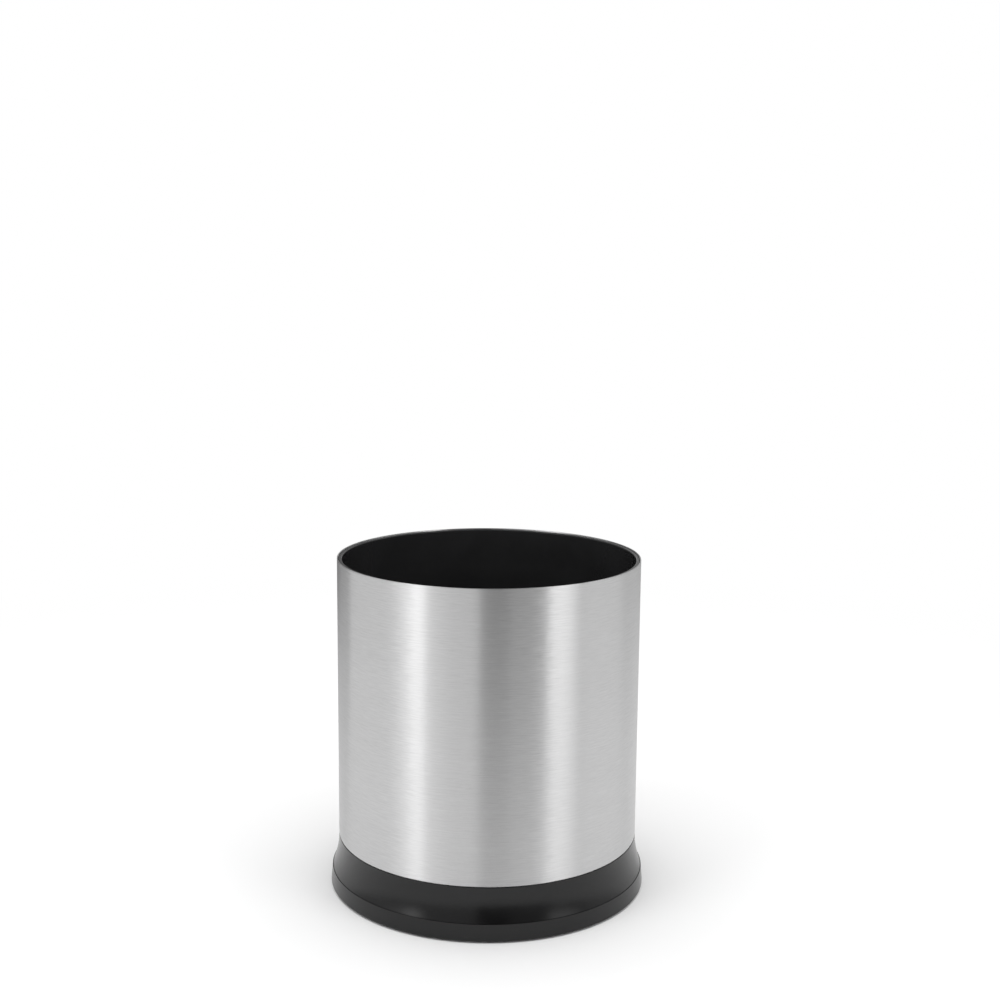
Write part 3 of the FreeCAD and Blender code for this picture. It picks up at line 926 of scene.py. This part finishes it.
@dataclass
class SteelSleeve(Assembly):
    """Sheet steel cylinder with a rounded plain rim and a foot turned in under the cup."""

    radius: float = 0.0800
    gauge: float = 0.0006
    low: float = 0.0273
    high: float = 0.1778
    bend: float = 0.0008
    flange_in: float = 0.0772
    wall_rings: int = 10
    rim_facets: int = 12
    bend_facets: int = 8
    inner_bend_facets: int = 4
    steps: int = 360

    def corners(self) -> list[Corner]:
        """Lays out the sheet's outline.

        Returns:
            Its corners, from the foot up the outside and down the inside.
        """
        centre = self.radius - self.bend
        inner = self.bend - self.gauge
        round_edge = self.gauge / 2
        shoulder = self.high - round_edge
        foot = self.low + self.bend
        rise = (shoulder - foot) / self.wall_rings
        wall = [Corner(self.radius, foot + rise * step) for step in range(1, self.wall_rings)]
        lining = [Corner(self.radius - self.gauge, corner.up) for corner in reversed(wall)]
        return [
            Corner(self.flange_in, self.low + self.gauge),
            Corner(self.flange_in, self.low),
            *arc(centre, foot, self.bend, -90, 0, self.bend_facets),
            *wall,
            *arc(self.radius - round_edge, shoulder, round_edge, 0, 180, self.rim_facets),
            *lining,
            *arc(centre, foot, inner, 0, -90, self.inner_bend_facets),
        ]

    def wrap(self, piece: bpy.types.Object, corners: list[Corner]) -> None:
        """Writes a UV map that runs round the sleeve from its back and along the sheet's outline.

        Args:
            piece: The turned sleeve.
            corners: The outline that it was turned from.
        """
        lengths = [0.0]
        for here, there in zip(corners, corners[1:]):
            step = math.hypot(there.across - here.across, there.up - here.up)
            lengths.append(lengths[-1] + step)
        whole = lengths[-1] + math.hypot(
            corners[0].across - corners[-1].across, corners[0].up - corners[-1].up
        )
        tree = KDTree(len(corners))
        for index, corner in enumerate(corners):
            tree.insert((corner.across, corner.up, 0.0), index)
        tree.balance()
        layer = piece.data.uv_layers.new(name=WRAP_MAP)
        for face in piece.data.polygons:
            middle = self.share_round(face.center)
            places = []
            for loop in face.loop_indices:
                point = piece.data.vertices[piece.data.loops[loop].vertex_index].co
                share = self.share_round(point)
                share += round(middle - share)
                _, nearest, _ = tree.find((math.hypot(point.x, point.y), point.z, 0.0))
                places.append([share, lengths[nearest] / whole])
            # The face that closes the outline reads on past 1 and not back to 0.
            if max(place[1] for place in places) - min(place[1] for place in places) > 0.5:
                for place in places:
                    place[1] += 1.0 if place[1] < 0.5 else 0.0
            for loop, place in zip(face.loop_indices, places):
                layer.data[loop].uv = place

    @staticmethod
    def share_round(point: Vector) -> float:
        """Share of a turn from the back of the holder, anticlockwise from above, from 0 to 1."""
        return ((math.atan2(point.y, point.x) - math.pi / 2) / FULL_TURN) % 1.0

    def build(self) -> list[bpy.types.Object]:
        """Models the sleeve.

        Returns:
            The sleeve.
        """
        corners = self.corners()
        piece = Bench.turned("brushed_steel_sleeve", corners, steps=self.steps)
        self.wrap(piece, corners)
        return [self.place(piece, Body.TURRET, Slot.STEEL, self.finishes.steel, "steel_sleeve")]


@dataclass
class Turntable(Assembly):
    """Flared collar and deck that turn with the cup, and the post in the bush."""

    top_radius: float = 0.0800
    foot_radius: float = 0.0833
    low: float = 0.00966
    high: float = 0.0273
    edge: float = 0.0001
    ledge_in: float = 0.0770
    skirt_in: float = 0.0786
    deck_under: float = 0.0133
    deck_top: float = 0.0157
    lip_in: float = 0.0792
    lip_out: float = 0.0812
    lip_low: float = 0.0074
    post: float = 0.0080
    post_low: float = 0.0057
    post_top: float = 0.0187
    pilot: float = 0.00255
    pilot_top: float = 0.0171
    post_edge: float = 0.0004
    lip_edge: float = 0.0003
    seam_edge: float = 0.0002
    ball_circle: float = 0.0580
    relief: float = 0.0045
    relief_centre: float = 0.0101
    relief_facets: int = 12
    flare_facets: int = 20
    features: tuple = (
        Ribs("deck_ribs", near=0.0064, far=0.0794, low=0.0145, high=0.0177, count=6, start=45.0),
        Pillars(
            "deck_bosses",
            circle=0.0490,
            radius=0.0029,
            low=0.0145,
            high=0.0193,
            count=4,
            top_rounding=0.0004,
            joining=Joining.ADD,
        ),
        Pillars("deck_pilots", circle=0.0490, radius=0.0013, low=0.0123, high=0.0177, count=4),
        Pillars("deck_holes", circle=0.0725, radius=0.0017, low=0.0120, high=0.0170, count=6, start=30.0),
    )

    def corners(self) -> list[Corner]:
        """Lays out the moulding's outline.

        Returns:
            Its corners, from the top of the screw's hole, round the deck, to the top of the post.
        """
        out, up = self.foot_radius - self.top_radius, self.high - self.low
        flare = (out * out + up * up) / (2 * out)
        swing = math.degrees(math.asin(up / flare))
        relief_rise = self.deck_under - self.relief_centre
        relief_angle = math.degrees(math.asin(relief_rise / self.relief))
        collar = arc(
            self.top_radius + flare, self.high, flare, 180 + swing, 180, self.flare_facets
        )
        return [
            Corner(0.0, self.pilot_top),
            Corner(self.pilot, self.pilot_top),
            Corner(self.pilot, self.post_low),
            Corner(self.post, self.post_low, self.post_edge, facets=3),
            Corner(self.post, self.deck_under),
            *arc(
                self.ball_circle,
                self.relief_centre,
                self.relief,
                180 - relief_angle,
                relief_angle,
                self.relief_facets,
            ),
            Corner(self.lip_in, self.deck_under),
            Corner(self.lip_in, self.lip_low, self.lip_edge, facets=3),
            Corner(self.lip_out, self.lip_low, self.lip_edge, facets=3),
            Corner(self.lip_out, self.low),
            Corner(self.foot_radius, self.low, self.edge),
            *collar[1:-1],
            Corner(self.top_radius, self.high, self.seam_edge, facets=3),
            Corner(self.ledge_in, self.high),
            Corner(self.skirt_in, self.deck_top),
            Corner(self.post, self.deck_top),
            Corner(self.post, self.post_top, self.post_edge, facets=3),
            Corner(0.0, self.post_top),
        ]

    def build(self) -> list[bpy.types.Object]:
        """Models the turntable moulding.

        Returns:
            The moulding.
        """
        piece = Bench.turned("turntable_collar", self.corners(), closed=False)
        for feature in self.features:
            feature.shape(piece)
        return [self.place(piece, Body.TURRET, Slot.SHELL, self.finishes.shell, "turntable")]


@dataclass
class BasePan(Assembly):
    """Standing pan with the outer band, the seat of the lower race and the boss of the bush."""

    foot_radius: float = 0.0844
    band_radius: float = 0.0836
    band_in: float = 0.0816
    low: float = 0.0008
    band_top: float = 0.00963
    edge: float = 0.0001
    foot_edge: float = 0.0006
    inner_edge: float = 0.0003
    well_edge: float = 0.0008
    floor_under: float = 0.0028
    floor_top: float = 0.0052
    seat_top: float = 0.0072
    seat_under: float = 0.0048
    seat_in: float = 0.0435
    seat_out: float = 0.0675
    floor_gauge: float = 0.0024
    ball_circle: float = 0.0580
    relief: float = 0.0045
    relief_centre: float = 0.0104
    relief_facets: int = 12
    well: float = 0.0170
    well_top: float = 0.0084
    well_under: float = 0.0060
    boss_out: float = 0.01405
    bush_out: float = 0.01005
    bush_seat: float = 0.0118
    keeper_in: float = 0.0685
    keeper_out: float = 0.0699
    keeper_low: float = 0.0012
    groove_out: float = 0.0781
    features: tuple = (
        Ribs(
            "pan_ribs",
            near=0.0182,
            far=0.0447,
            low=0.0012,
            high=0.0072,
            count=8,
            start=22.5,
            hanging=True,
        ),
        Ribs(
            "seat_ribs",
            near=0.0445,
            far=0.0663,
            low=0.0012,
            high=0.0054,
            count=8,
            start=22.5,
            hanging=True,
        ),
        Pillars(
            "pan_bosses",
            circle=0.0490,
            radius=0.0029,
            low=0.0014,
            high=0.0054,
            count=4,
            foot_rounding=0.0004,
            joining=Joining.ADD,
        ),
        Pillars("pan_pilots", circle=0.0490, radius=0.0013, low=0.0030, high=0.0082, count=4),
    )

    def corners(self) -> list[Corner]:
        """Lays out the pan's closed outline.

        Returns:
            Its corners, from the foot of the band inwards over the top and back underneath.
        """
        rise = self.relief_centre - self.seat_top
        angle = math.degrees(math.asin(rise / self.relief))
        soft = self.inner_edge
        return [
            Corner(self.foot_radius, self.low, self.foot_edge),
            Corner(self.band_radius, self.band_top, self.edge),
            Corner(self.band_in, self.band_top, soft, facets=3),
            Corner(self.band_in, self.floor_top),
            Corner(self.seat_out, self.floor_top),
            Corner(self.seat_out, self.seat_top, soft, facets=3),
            *arc(
                self.ball_circle,
                self.relief_centre,
                self.relief,
                -angle,
                angle - 180,
                self.relief_facets,
            ),
            Corner(self.seat_in, self.seat_top, soft, facets=3),
            Corner(self.seat_in, self.floor_top),
            Corner(self.well + self.floor_gauge, self.floor_top),
            Corner(self.well + self.floor_gauge, self.well_top, soft, facets=3),
            Corner(self.boss_out, self.well_top),
            Corner(self.boss_out, self.bush_seat, soft, facets=3),
            Corner(self.bush_out, self.bush_seat),
            Corner(self.bush_out, self.well_under, soft, facets=3),
            Corner(self.well, self.well_under, self.well_edge, facets=5),
            Corner(self.well, self.floor_under, soft, facets=4),
            Corner(self.seat_in + self.floor_gauge, self.floor_under, soft, facets=4),
            Corner(self.seat_in + self.floor_gauge, self.seat_under),
            Corner(self.seat_out - self.floor_gauge, self.seat_under),
            Corner(self.seat_out - self.floor_gauge, self.floor_under, soft, facets=4),
            Corner(self.keeper_in, self.floor_under),
            Corner(self.keeper_in, self.keeper_low, soft, facets=4),
            Corner(self.keeper_out, self.keeper_low, soft, facets=4),
            Corner(self.keeper_out, self.floor_under),
            Corner(self.groove_out, self.floor_under),
            Corner(self.groove_out, self.low, soft, facets=4),
        ]

    def build(self) -> list[bpy.types.Object]:
        """Models the pan moulding.

        Returns:
            The moulding.
        """
        piece = Bench.turned("base_pan_band", self.corners())
        for feature in self.features:
            feature.shape(piece)
        Bench.heal(piece)
        return [self.place(piece, Body.BASE, Slot.SHELL, self.finishes.shell, "base_pan")]


@dataclass
class FootRing(Assembly):
    """Soft ring that the holder stands on, with two treads cut round its underside."""

    inner: float = 0.0700
    outer: float = 0.0780
    high: float = 0.0028
    edge: float = 0.0004
    tread_depth: float = 0.0005
    tread_width: float = 0.0012
    tread_edge: float = 0.0002
    tread_count: int = 2

    def build(self) -> list[bpy.types.Object]:
        """Models the ring.

        Returns:
            The ring.
        """
        corners = [Corner(self.inner, 0.0, self.edge, facets=5)]
        for number in range(1, self.tread_count + 1):
            middle = self.inner + (self.outer - self.inner) * number / (self.tread_count + 1)
            near, far = middle - self.tread_width / 2, middle + self.tread_width / 2
            corners += [
                Corner(near, 0.0, self.tread_edge, facets=3),
                Corner(near, self.tread_depth),
                Corner(far, self.tread_depth),
                Corner(far, 0.0, self.tread_edge, facets=3),
            ]
        corners += [
            Corner(self.outer, 0.0, self.edge, facets=5),
            Corner(self.outer, self.high),
            Corner(self.inner, self.high),
        ]
        piece = Bench.turned("soft_foot_ring", corners)
        return [self.place(piece, Body.BASE, Slot.RING, self.finishes.ring, "foot_ring")]


@dataclass
class InnerCup(Assembly):
    """Black cup inside the sleeve, with guides for the walls and a socket for the column."""

    outer: float = 0.0791
    inner: float = 0.0774
    under: float = 0.0279
    floor: float = 0.0299
    top: float = 0.1773
    outer_edge: float = 0.0003
    mouth_edge: float = 0.0006
    under_edge: float = 0.0002
    corner: float = 0.0040
    corner_facets: int = 10
    bore: float = 0.0022
    spigot_in: float = 0.0747
    spigot_out: float = 0.0767
    spigot_low: float = 0.0245
    spigot_edge: float = 0.0003
    socket_in: float = 0.0081
    socket_out: float = 0.0096
    socket_top: float = 0.0339
    socket_edge: float = 0.0004
    gate_reach: float = 0.0111
    gate_top: float = 0.0349
    guide_depth: float = 0.0030
    guide_wall: float = 0.0015
    guide_top: float = 0.1378
    guide_edge: float = 0.0004
    slot_half: float = 0.00125
    wall_rings: int = 6
    pillars: tuple = (
        Pillars(
            "cup_bosses",
            circle=0.0725,
            radius=0.00315,
            low=0.0159,
            high=0.0289,
            count=6,
            start=30.0,
            foot_rounding=0.0004,
            joining=Joining.ADD,
        ),
        Pillars("cup_pilots", circle=0.0725, radius=0.00155, low=0.0150, high=0.0239, count=6, start=30.0),
    )

    def corners(self) -> list[Corner]:
        """Lays out the cup's closed outline.

        Returns:
            Its corners, from the underside up the outside and down the inside.
        """
        rise = (self.top - self.under) / self.wall_rings
        outside = [Corner(self.outer, self.under + rise * step) for step in range(1, self.wall_rings)]
        foot = self.floor + self.corner
        rise = (self.top - foot) / self.wall_rings
        inside = [Corner(self.inner, self.top - rise * step) for step in range(1, self.wall_rings)]
        return [
            Corner(self.bore, self.under),
            Corner(self.spigot_in, self.under),
            Corner(self.spigot_in, self.spigot_low, self.spigot_edge, facets=3),
            Corner(self.spigot_out, self.spigot_low, self.spigot_edge, facets=3),
            Corner(self.spigot_out, self.under),
            Corner(self.outer, self.under, self.under_edge, facets=3),
            *outside,
            Corner(self.outer, self.top, self.outer_edge, facets=4),
            Corner(self.inner, self.top, self.mouth_edge),
            *inside,
            *arc(self.inner - self.corner, foot, self.corner, 0, -90, self.corner_facets),
            Corner(self.socket_out, self.floor, self.socket_edge, facets=4),
            Corner(self.socket_out, self.socket_top, self.socket_edge, facets=4),
            Corner(self.socket_in, self.socket_top, self.spigot_edge, facets=3),
            Corner(self.socket_in, self.floor),
            Corner(self.bore, self.floor),
        ]

    def guides(self) -> bpy.types.Object:
        """Makes the paired guides up the wall, rounded where a utensil can touch them.

        Returns:
            One object that holds them all.
        """
        near, far = self.inner - self.guide_depth, (self.inner + self.outer) / 2
        inward = near + SAME_PLACE
        pair = []
        for side in (1, -1):
            edges = sorted((side * self.slot_half, side * (self.slot_half + self.guide_wall)))
            low = (near, edges[0], (self.under + self.floor) / 2)
            guide = Bench.block("cup_guides", low, (far, edges[1], self.guide_top))
            Bench.pick_edges(guide, lambda a, b: max(a.x, b.x) < inward)
            bpy.ops.mesh.bevel(offset=self.guide_edge, segments=4, affect="EDGES")
            pair.append(Bench.close(guide))
        Bench.take(pair[0])
        pair[1].select_set(True)
        bpy.ops.object.join()
        return Bench.ring_of(pair[0], len(PANEL_ANGLES), PANEL_ANGLES[0])

    def gates(self) -> bpy.types.Object:
        """Makes the cuts through the socket that let the walls into the column.

        Returns:
            One object that holds them all.
        """
        low = (self.socket_in / 2, -self.slot_half, self.floor)
        high = (self.gate_reach, self.slot_half, self.gate_top)
        gate = Bench.block("socket_gates", low, high)
        return Bench.ring_of(gate, len(PANEL_ANGLES), PANEL_ANGLES[0])

    def build(self) -> list[bpy.types.Object]:
        """Models the cup.

        Returns:
            The cup.
        """
        piece = Bench.turned("cup_lining", self.corners())
        Bench.combine(piece, self.guides(), Joining.ADD)
        Bench.combine(piece, self.gates(), Joining.CUT)
        for pillars in self.pillars:
            pillars.shape(piece)
        return [self.place(piece, Body.TURRET, Slot.CUP, self.finishes.cup, "inner_cup")]


@dataclass
class Divider(Assembly):
    """Slotted column in the middle of the cup and the three walls that lift out of it."""

    column: float = 0.0080
    low: float = 0.0299
    top: float = 0.1418
    dome: float = 0.0020
    dome_facets: int = 8
    column_steps: int = 96
    bore: float = 0.00205
    bore_top: float = 0.0405
    slot_in: float = 0.0034
    slot_half: float = 0.00125
    slot_overcut: float = 0.001
    wall_in: float = 0.00365
    wall_out: float = 0.0769
    wall_low: float = 0.03015
    wall_top: float = 0.1378
    wall_half: float = 0.0010
    foot_corner: float = 0.00425
    shoulder: float = 0.0080
    tab_middle: float = 0.0360
    tab_radius: float = 0.0110
    tab_facets: int = 36
    edge: float = 0.0004
    bodies: tuple = (Body.WALL_A, Body.WALL_B, Body.WALL_C)

    def hub(self) -> bpy.types.Object:
        """Models the column with its slots and its softened crown.

        Returns:
            The column.
        """
        shoulder = self.top - self.dome
        corners = [
            Corner(0.0, self.bore_top),
            Corner(self.bore, self.bore_top),
            Corner(self.bore, self.low),
            Corner(self.column, self.low),
            *arc(self.column - self.dome, shoulder, self.dome, 0, 90, self.dome_facets),
            Corner(0.0, self.top),
        ]
        piece = Bench.turned("divider_column", corners, closed=False, steps=self.column_steps)
        low = (self.slot_in, -self.slot_half, self.low - self.slot_overcut)
        high = (self.column + 2 * self.slot_overcut, self.slot_half, self.top + self.slot_overcut)
        slot = Bench.block("column_slots", low, high)
        Bench.ring_of(slot, len(PANEL_ANGLES), PANEL_ANGLES[0])
        Bench.combine(piece, slot, Joining.CUT)
        return self.place(piece, Body.TURRET, Slot.CUP, self.finishes.cup, "divider_hub")

    def wall_corners(self) -> list[Corner]:
        """Lays out a wall's outline with its thumb tab.

        Returns:
            Its corners, anticlockwise from its inner, lower end.
        """
        high = self.wall_top
        return [
            Corner(self.wall_in, self.wall_low),
            Corner(self.wall_out, self.wall_low, self.foot_corner, facets=10),
            Corner(self.wall_out, high, self.shoulder, facets=14),
            *arc(self.tab_middle, high, self.tab_radius, 0, 180, self.tab_facets),
            Corner(self.wall_in, high),
        ]

    def wall(self, letter: str, degrees: float, body: Body) -> bpy.types.Object:
        """Models one wall.

        Args:
            letter: The letter in its name.
            degrees: Its angle round the axis.
            body: The body that it rides on.

        Returns:
            The wall.
        """
        piece = Bench.outline(f"lift_wall_{letter}", self.wall_corners())
        bpy.ops.mesh.select_all(action="SELECT")
        bpy.ops.transform.translate(value=(0.0, -self.wall_half, 0.0))
        bpy.ops.mesh.edge_face_add()
        bpy.ops.mesh.extrude_region_move(
            TRANSFORM_OT_translate={"value": (0.0, 2 * self.wall_half, 0.0)}
        )
        bpy.ops.mesh.select_all(action="SELECT")
        bpy.ops.mesh.normals_make_consistent(inside=False)
        flat = 2 * (self.wall_half - SAME_PLACE)
        Bench.pick_edges(piece, lambda a, b: abs(a.y + b.y) > flat)
        bpy.ops.mesh.bevel(offset=self.edge, segments=4, affect="EDGES", clamp_overlap=True)
        Bench.close(piece)
        piece.data.transform(Matrix.Rotation(math.radians(degrees), 4, "Z"))
        node = f"divider_wall_{letter}"
        return self.place(piece, body, Slot.CUP, self.finishes.cup, node)

    def build(self) -> list[bpy.types.Object]:
        """Models the column and the walls."""
        walls = zip("abc", PANEL_ANGLES, self.bodies)
        return [self.hub(), *(self.wall(*choice) for choice in walls)]


@dataclass
class Hardware(Assembly):
    """Bearing, bush and screws: CAD nodes that only need their finishes."""

    steel_nodes: tuple = ("lower_race", "upper_race")
    ball_nodes: tuple = ("bearing_balls",)
    screw_nodes: tuple = (
        "lower_race_screws",
        "upper_race_screws",
        "pivot_washer",
        "pivot_screw",
        "cup_screws",
        "hub_screw",
    )
    plastic_nodes: tuple = ("pivot_bush", "ball_cage")

    def build(self) -> list[bpy.types.Object]:
        """Coats the CAD nodes.

        Returns:
            The nodes.
        """
        pieces = []
        for names, finish, slot in (
            (self.steel_nodes, self.finishes.race, Slot.RACE),
            (self.ball_nodes, self.finishes.ball, Slot.BALL),
            (self.screw_nodes, self.finishes.screw, Slot.SCREW),
            (self.plastic_nodes, self.finishes.acetal, Slot.ACETAL),
        ):
            for name in names:
                node = frame["nodes"][name]
                finish.coat(node)
                pieces.append(node)
        return pieces


@dataclass(frozen=True)
class Softbox:
    """A soft panel of light that faces the holder's axis.

    Azimuth is in degrees from the front (-Y) towards +X, and the tilt is downwards.
    """

    name: str
    azimuth: float
    distance: float
    height: float
    tilt: float
    width: float
    length: float
    level: float
    mirrored: bool = True

    def build(self) -> None:
        """Makes an area light whose face has the softbox's level of radiance."""
        lamp = bpy.data.lights.new(self.name, "AREA")
        lamp.shape = "RECTANGLE"
        lamp.size = self.width
        lamp.size_y = self.length
        lamp.energy = self.level * math.pi * self.width * self.length
        holder = bpy.data.objects.new(self.name, lamp)
        bpy.context.scene.collection.objects.link(holder)
        swing = Matrix.Rotation(math.radians(self.azimuth), 4, "Z")
        place = Matrix.Translation((0.0, -self.distance, self.height))
        tilt = Matrix.Rotation(math.radians(90.0 - self.tilt), 4, "X")
        holder.matrix_world = swing @ place @ tilt
        holder.visible_camera = False
        holder.visible_glossy = self.mirrored


@dataclass(frozen=True)
class Screen:
    """A plain card round part of the holder that only shows in its gloss.

    It is swept from one azimuth to another, along a straight line from its lower, inner edge to
    its upper, outer edge. A screen with both edges at the floor lies flat on it.
    """

    name: str
    first: float
    last: float
    inner: float
    outer: float
    low: float
    high: float
    level: float
    steps: int = 24

    def build(self) -> None:
        """Models the screen and gives it its grey."""
        corners = [Corner(self.inner, self.low), Corner(self.outer, self.high)]
        screen = Bench.outline(self.name, corners, closed=False)
        bpy.ops.mesh.select_all(action="SELECT")
        sweep = math.radians(self.last - self.first)
        bpy.ops.mesh.spin(steps=self.steps, angle=sweep, center=(0, 0, 0), axis=(0, 0, 1))
        Bench.close(screen)
        self.turn_to_start(screen)
        screen.visible_camera = False
        screen.visible_diffuse = False
        screen.visible_shadow = False
        material = bpy.data.materials.new(self.name)
        material.use_nodes = True
        board = Board(material.node_tree)
        grey = (self.level, self.level, self.level, 1.0)
        glow = board.add("Emission", {"Color": grey, "Strength": 1.0})
        board.add("OutputMaterial", {"Surface": glow.outputs["Emission"]})
        screen.data.materials.append(material)

    def turn_to_start(self, screen: bpy.types.Object) -> None:
        """Turns the swept mesh about the axis until it starts at the first azimuth.

        Args:
            screen: The screen.
        """
        angles = [math.atan2(vertex.co.y, vertex.co.x) for vertex in screen.data.vertices]
        backwards = min(angles) < -SAME_PLACE and max(angles) < SAME_PLACE
        start = self.last if backwards else self.first
        screen.data.transform(Matrix.Rotation(math.radians(start - 90.0), 4, "Z"))


@dataclass
class Studio:
    """White floor and background, soft lights, grey and dark screens, and the camera."""

    floor_size: float = 12.0
    floor_white: float = 0.90
    fade_near: float = 0.30
    fade_far: float = 0.80
    world_level: float = 0.76
    camera_place: tuple = (0.00545, -0.7794, 0.3356)
    camera_pitch: float = 0.16287
    camera_roll: float = 0.0086
    lens: float = 54.17
    sensor: float = 36.0
    clip_near: float = 0.01
    lights: tuple = (
        Softbox("left_softbox", -53.2, 1.10, 1.28, 0.0, 0.57, 1.70, 1.34),
        Softbox("left_strip", -47.0, 1.10, 0.25, 0.0, 0.38, 0.30, 1.5),
        Softbox("right_softbox", 55.0, 1.10, 1.28, 0.0, 0.47, 1.70, 1.18),
        Softbox("right_strip", 50.5, 1.10, 0.25, 0.0, 0.36, 0.30, 0.4),
        Softbox("overhead_softbox", 0.0, 0.0, 1.60, 90.0, 1.50, 1.50, 1.6, mirrored=False),
    )
    screens: tuple = (
        Screen("front_mat", -5.5, 43.0, 0.44, 0.90, 0.001, 0.001, 0.01),
        Screen("front_card", -5.5, 15.0, 0.90, 0.90, 0.0, 1.30, 0.02),
        Screen("front_right_card", 15.0, 43.0, 0.90, 0.90, 0.0, 1.30, 0.22),
        Screen("left_card", -45.0, -5.5, 0.90, 0.90, 0.0, 0.90, 0.50),
        Screen("left_low_card", -72.0, -45.0, 0.90, 0.90, 0.0, 0.10, 0.45),
        Screen("left_side_card", -118.0, -72.0, 0.90, 0.90, 0.0, 0.90, 0.60),
        Screen("left_back_card", -178.0, -118.0, 0.70, 0.70, 0.0, 0.90, 0.25),
        Screen("right_low_card", 43.0, 72.0, 0.90, 0.90, 0.0, 0.10, 0.45),
        Screen("right_gap_card", 66.5, 71.0, 0.90, 0.90, 0.0, 0.90, 0.35),
        Screen("right_side_card", 71.0, 112.0, 0.90, 0.90, 0.0, 0.90, 0.62),
        Screen("right_back_card", 112.0, 178.0, 0.90, 0.90, 0.0, 0.90, 0.42),
        Screen("ceiling", -180.0, 180.0, 0.02, 2.40, 2.60, 2.60, 0.20),
    )

    @staticmethod
    def seen(board: Board) -> bpy.types.NodeSocket:
        """Adds a test for the rays that show a background: seen, mirrored or passed through.

        Args:
            board: The node board.

        Returns:
            1 for these rays and 0 for others.
        """
        path = board.add("LightPath").outputs
        mirrored = board.math("MAXIMUM", path["Is Glossy Ray"], path["Is Transmission Ray"])
        return board.math("MAXIMUM", path["Is Camera Ray"], mirrored)

    def floor(self) -> None:
        """Lays a pale floor that fades to the white background away from the holder."""
        Bench.release()
        bpy.ops.mesh.primitive_plane_add(size=self.floor_size)
        floor = bpy.context.object
        floor.name = "studio_floor"
        material = bpy.data.materials.new("studio_floor")
        material.use_nodes = True
        board = Board(material.node_tree)
        pale = (self.floor_white, self.floor_white, self.floor_white, 1.0)
        matt = board.add("BsdfDiffuse", {"Color": pale})
        glow = board.add("Emission", {"Color": WHITE, "Strength": 1.0})
        place = board.add("TexCoord").outputs["Object"]
        distance = board.add("VectorMath", {0: place}, operation="LENGTH").outputs["Value"]
        fade = board.spread(distance, (self.fade_near, self.fade_far), (0.0, 1.0))
        share = board.math("MULTIPLY", fade, self.seen(board))
        mix = board.add("MixShader", {"Fac": share})
        board.tree.links.new(matt.outputs[0], mix.inputs[1])
        board.tree.links.new(glow.outputs[0], mix.inputs[2])
        board.add("OutputMaterial", {"Surface": mix.outputs[0]})
        floor.data.materials.append(material)

    def world(self) -> None:
        """Makes the surroundings: white as seen and as mirrored, a plain light level otherwise."""
        world = bpy.data.worlds.new("studio_world")
        world.use_nodes = True
        bpy.context.scene.world = world
        board = Board(world.node_tree)
        plain = board.add("Background", {"Color": WHITE, "Strength": self.world_level})
        bright = board.add("Background", {"Color": WHITE, "Strength": 1.0})
        mix = board.add("MixShader", {"Fac": self.seen(board)})
        board.tree.links.new(plain.outputs[0], mix.inputs[1])
        board.tree.links.new(bright.outputs[0], mix.inputs[2])
        board.add("OutputWorld", {"Surface": mix.outputs[0]})

    def camera(self) -> None:
        """Sets the camera at the photograph's place."""
        lens = bpy.data.cameras.new("studio_camera")
        lens.lens = self.lens
        lens.sensor_width = self.sensor
        lens.clip_start = self.clip_near
        holder = bpy.data.objects.new("studio_camera", lens)
        bpy.context.scene.collection.objects.link(holder)
        tilt = Matrix.Rotation(math.pi / 2 - self.camera_pitch, 4, "X")
        roll = Matrix.Rotation(self.camera_roll, 4, "Z")
        holder.matrix_world = Matrix.Translation(self.camera_place) @ tilt @ roll
        bpy.context.scene.camera = holder

    def build(self) -> None:
        """Sets up the whole studio."""
        self.floor()
        self.world()
        for item in (*self.lights, *self.screens):
            item.build()
        self.camera()
        bpy.context.scene.view_settings.view_transform = "Standard"


def clear_leftovers() -> None:
    """Removes what Blender's start-up file brought along."""
    kept = set(frame["nodes"].values()) | set(frame["bodies"].values())
    for spare in list(bpy.data.objects):
        if spare not in kept:
            bpy.data.objects.remove(spare)


def main() -> None:
    """Builds the holder's pieces and the studio, and reports each piece."""
    logging.basicConfig(level=logging.INFO, format="%(name)s: %(message)s")
    clear_leftovers()
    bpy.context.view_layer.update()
    finishes = Finishes()
    for assembly in (
        SteelSleeve(finishes),
        Turntable(finishes),
        BasePan(finishes),
        FootRing(finishes),
        InnerCup(finishes),
        Divider(finishes),
        Hardware(finishes),
    ):
        for piece in assembly.build():
            log.info("%s: %s, %d faces", type(assembly).__name__, piece.name, len(piece.data.polygons))
    Studio().build()


if __name__ == "__main__":
    main()
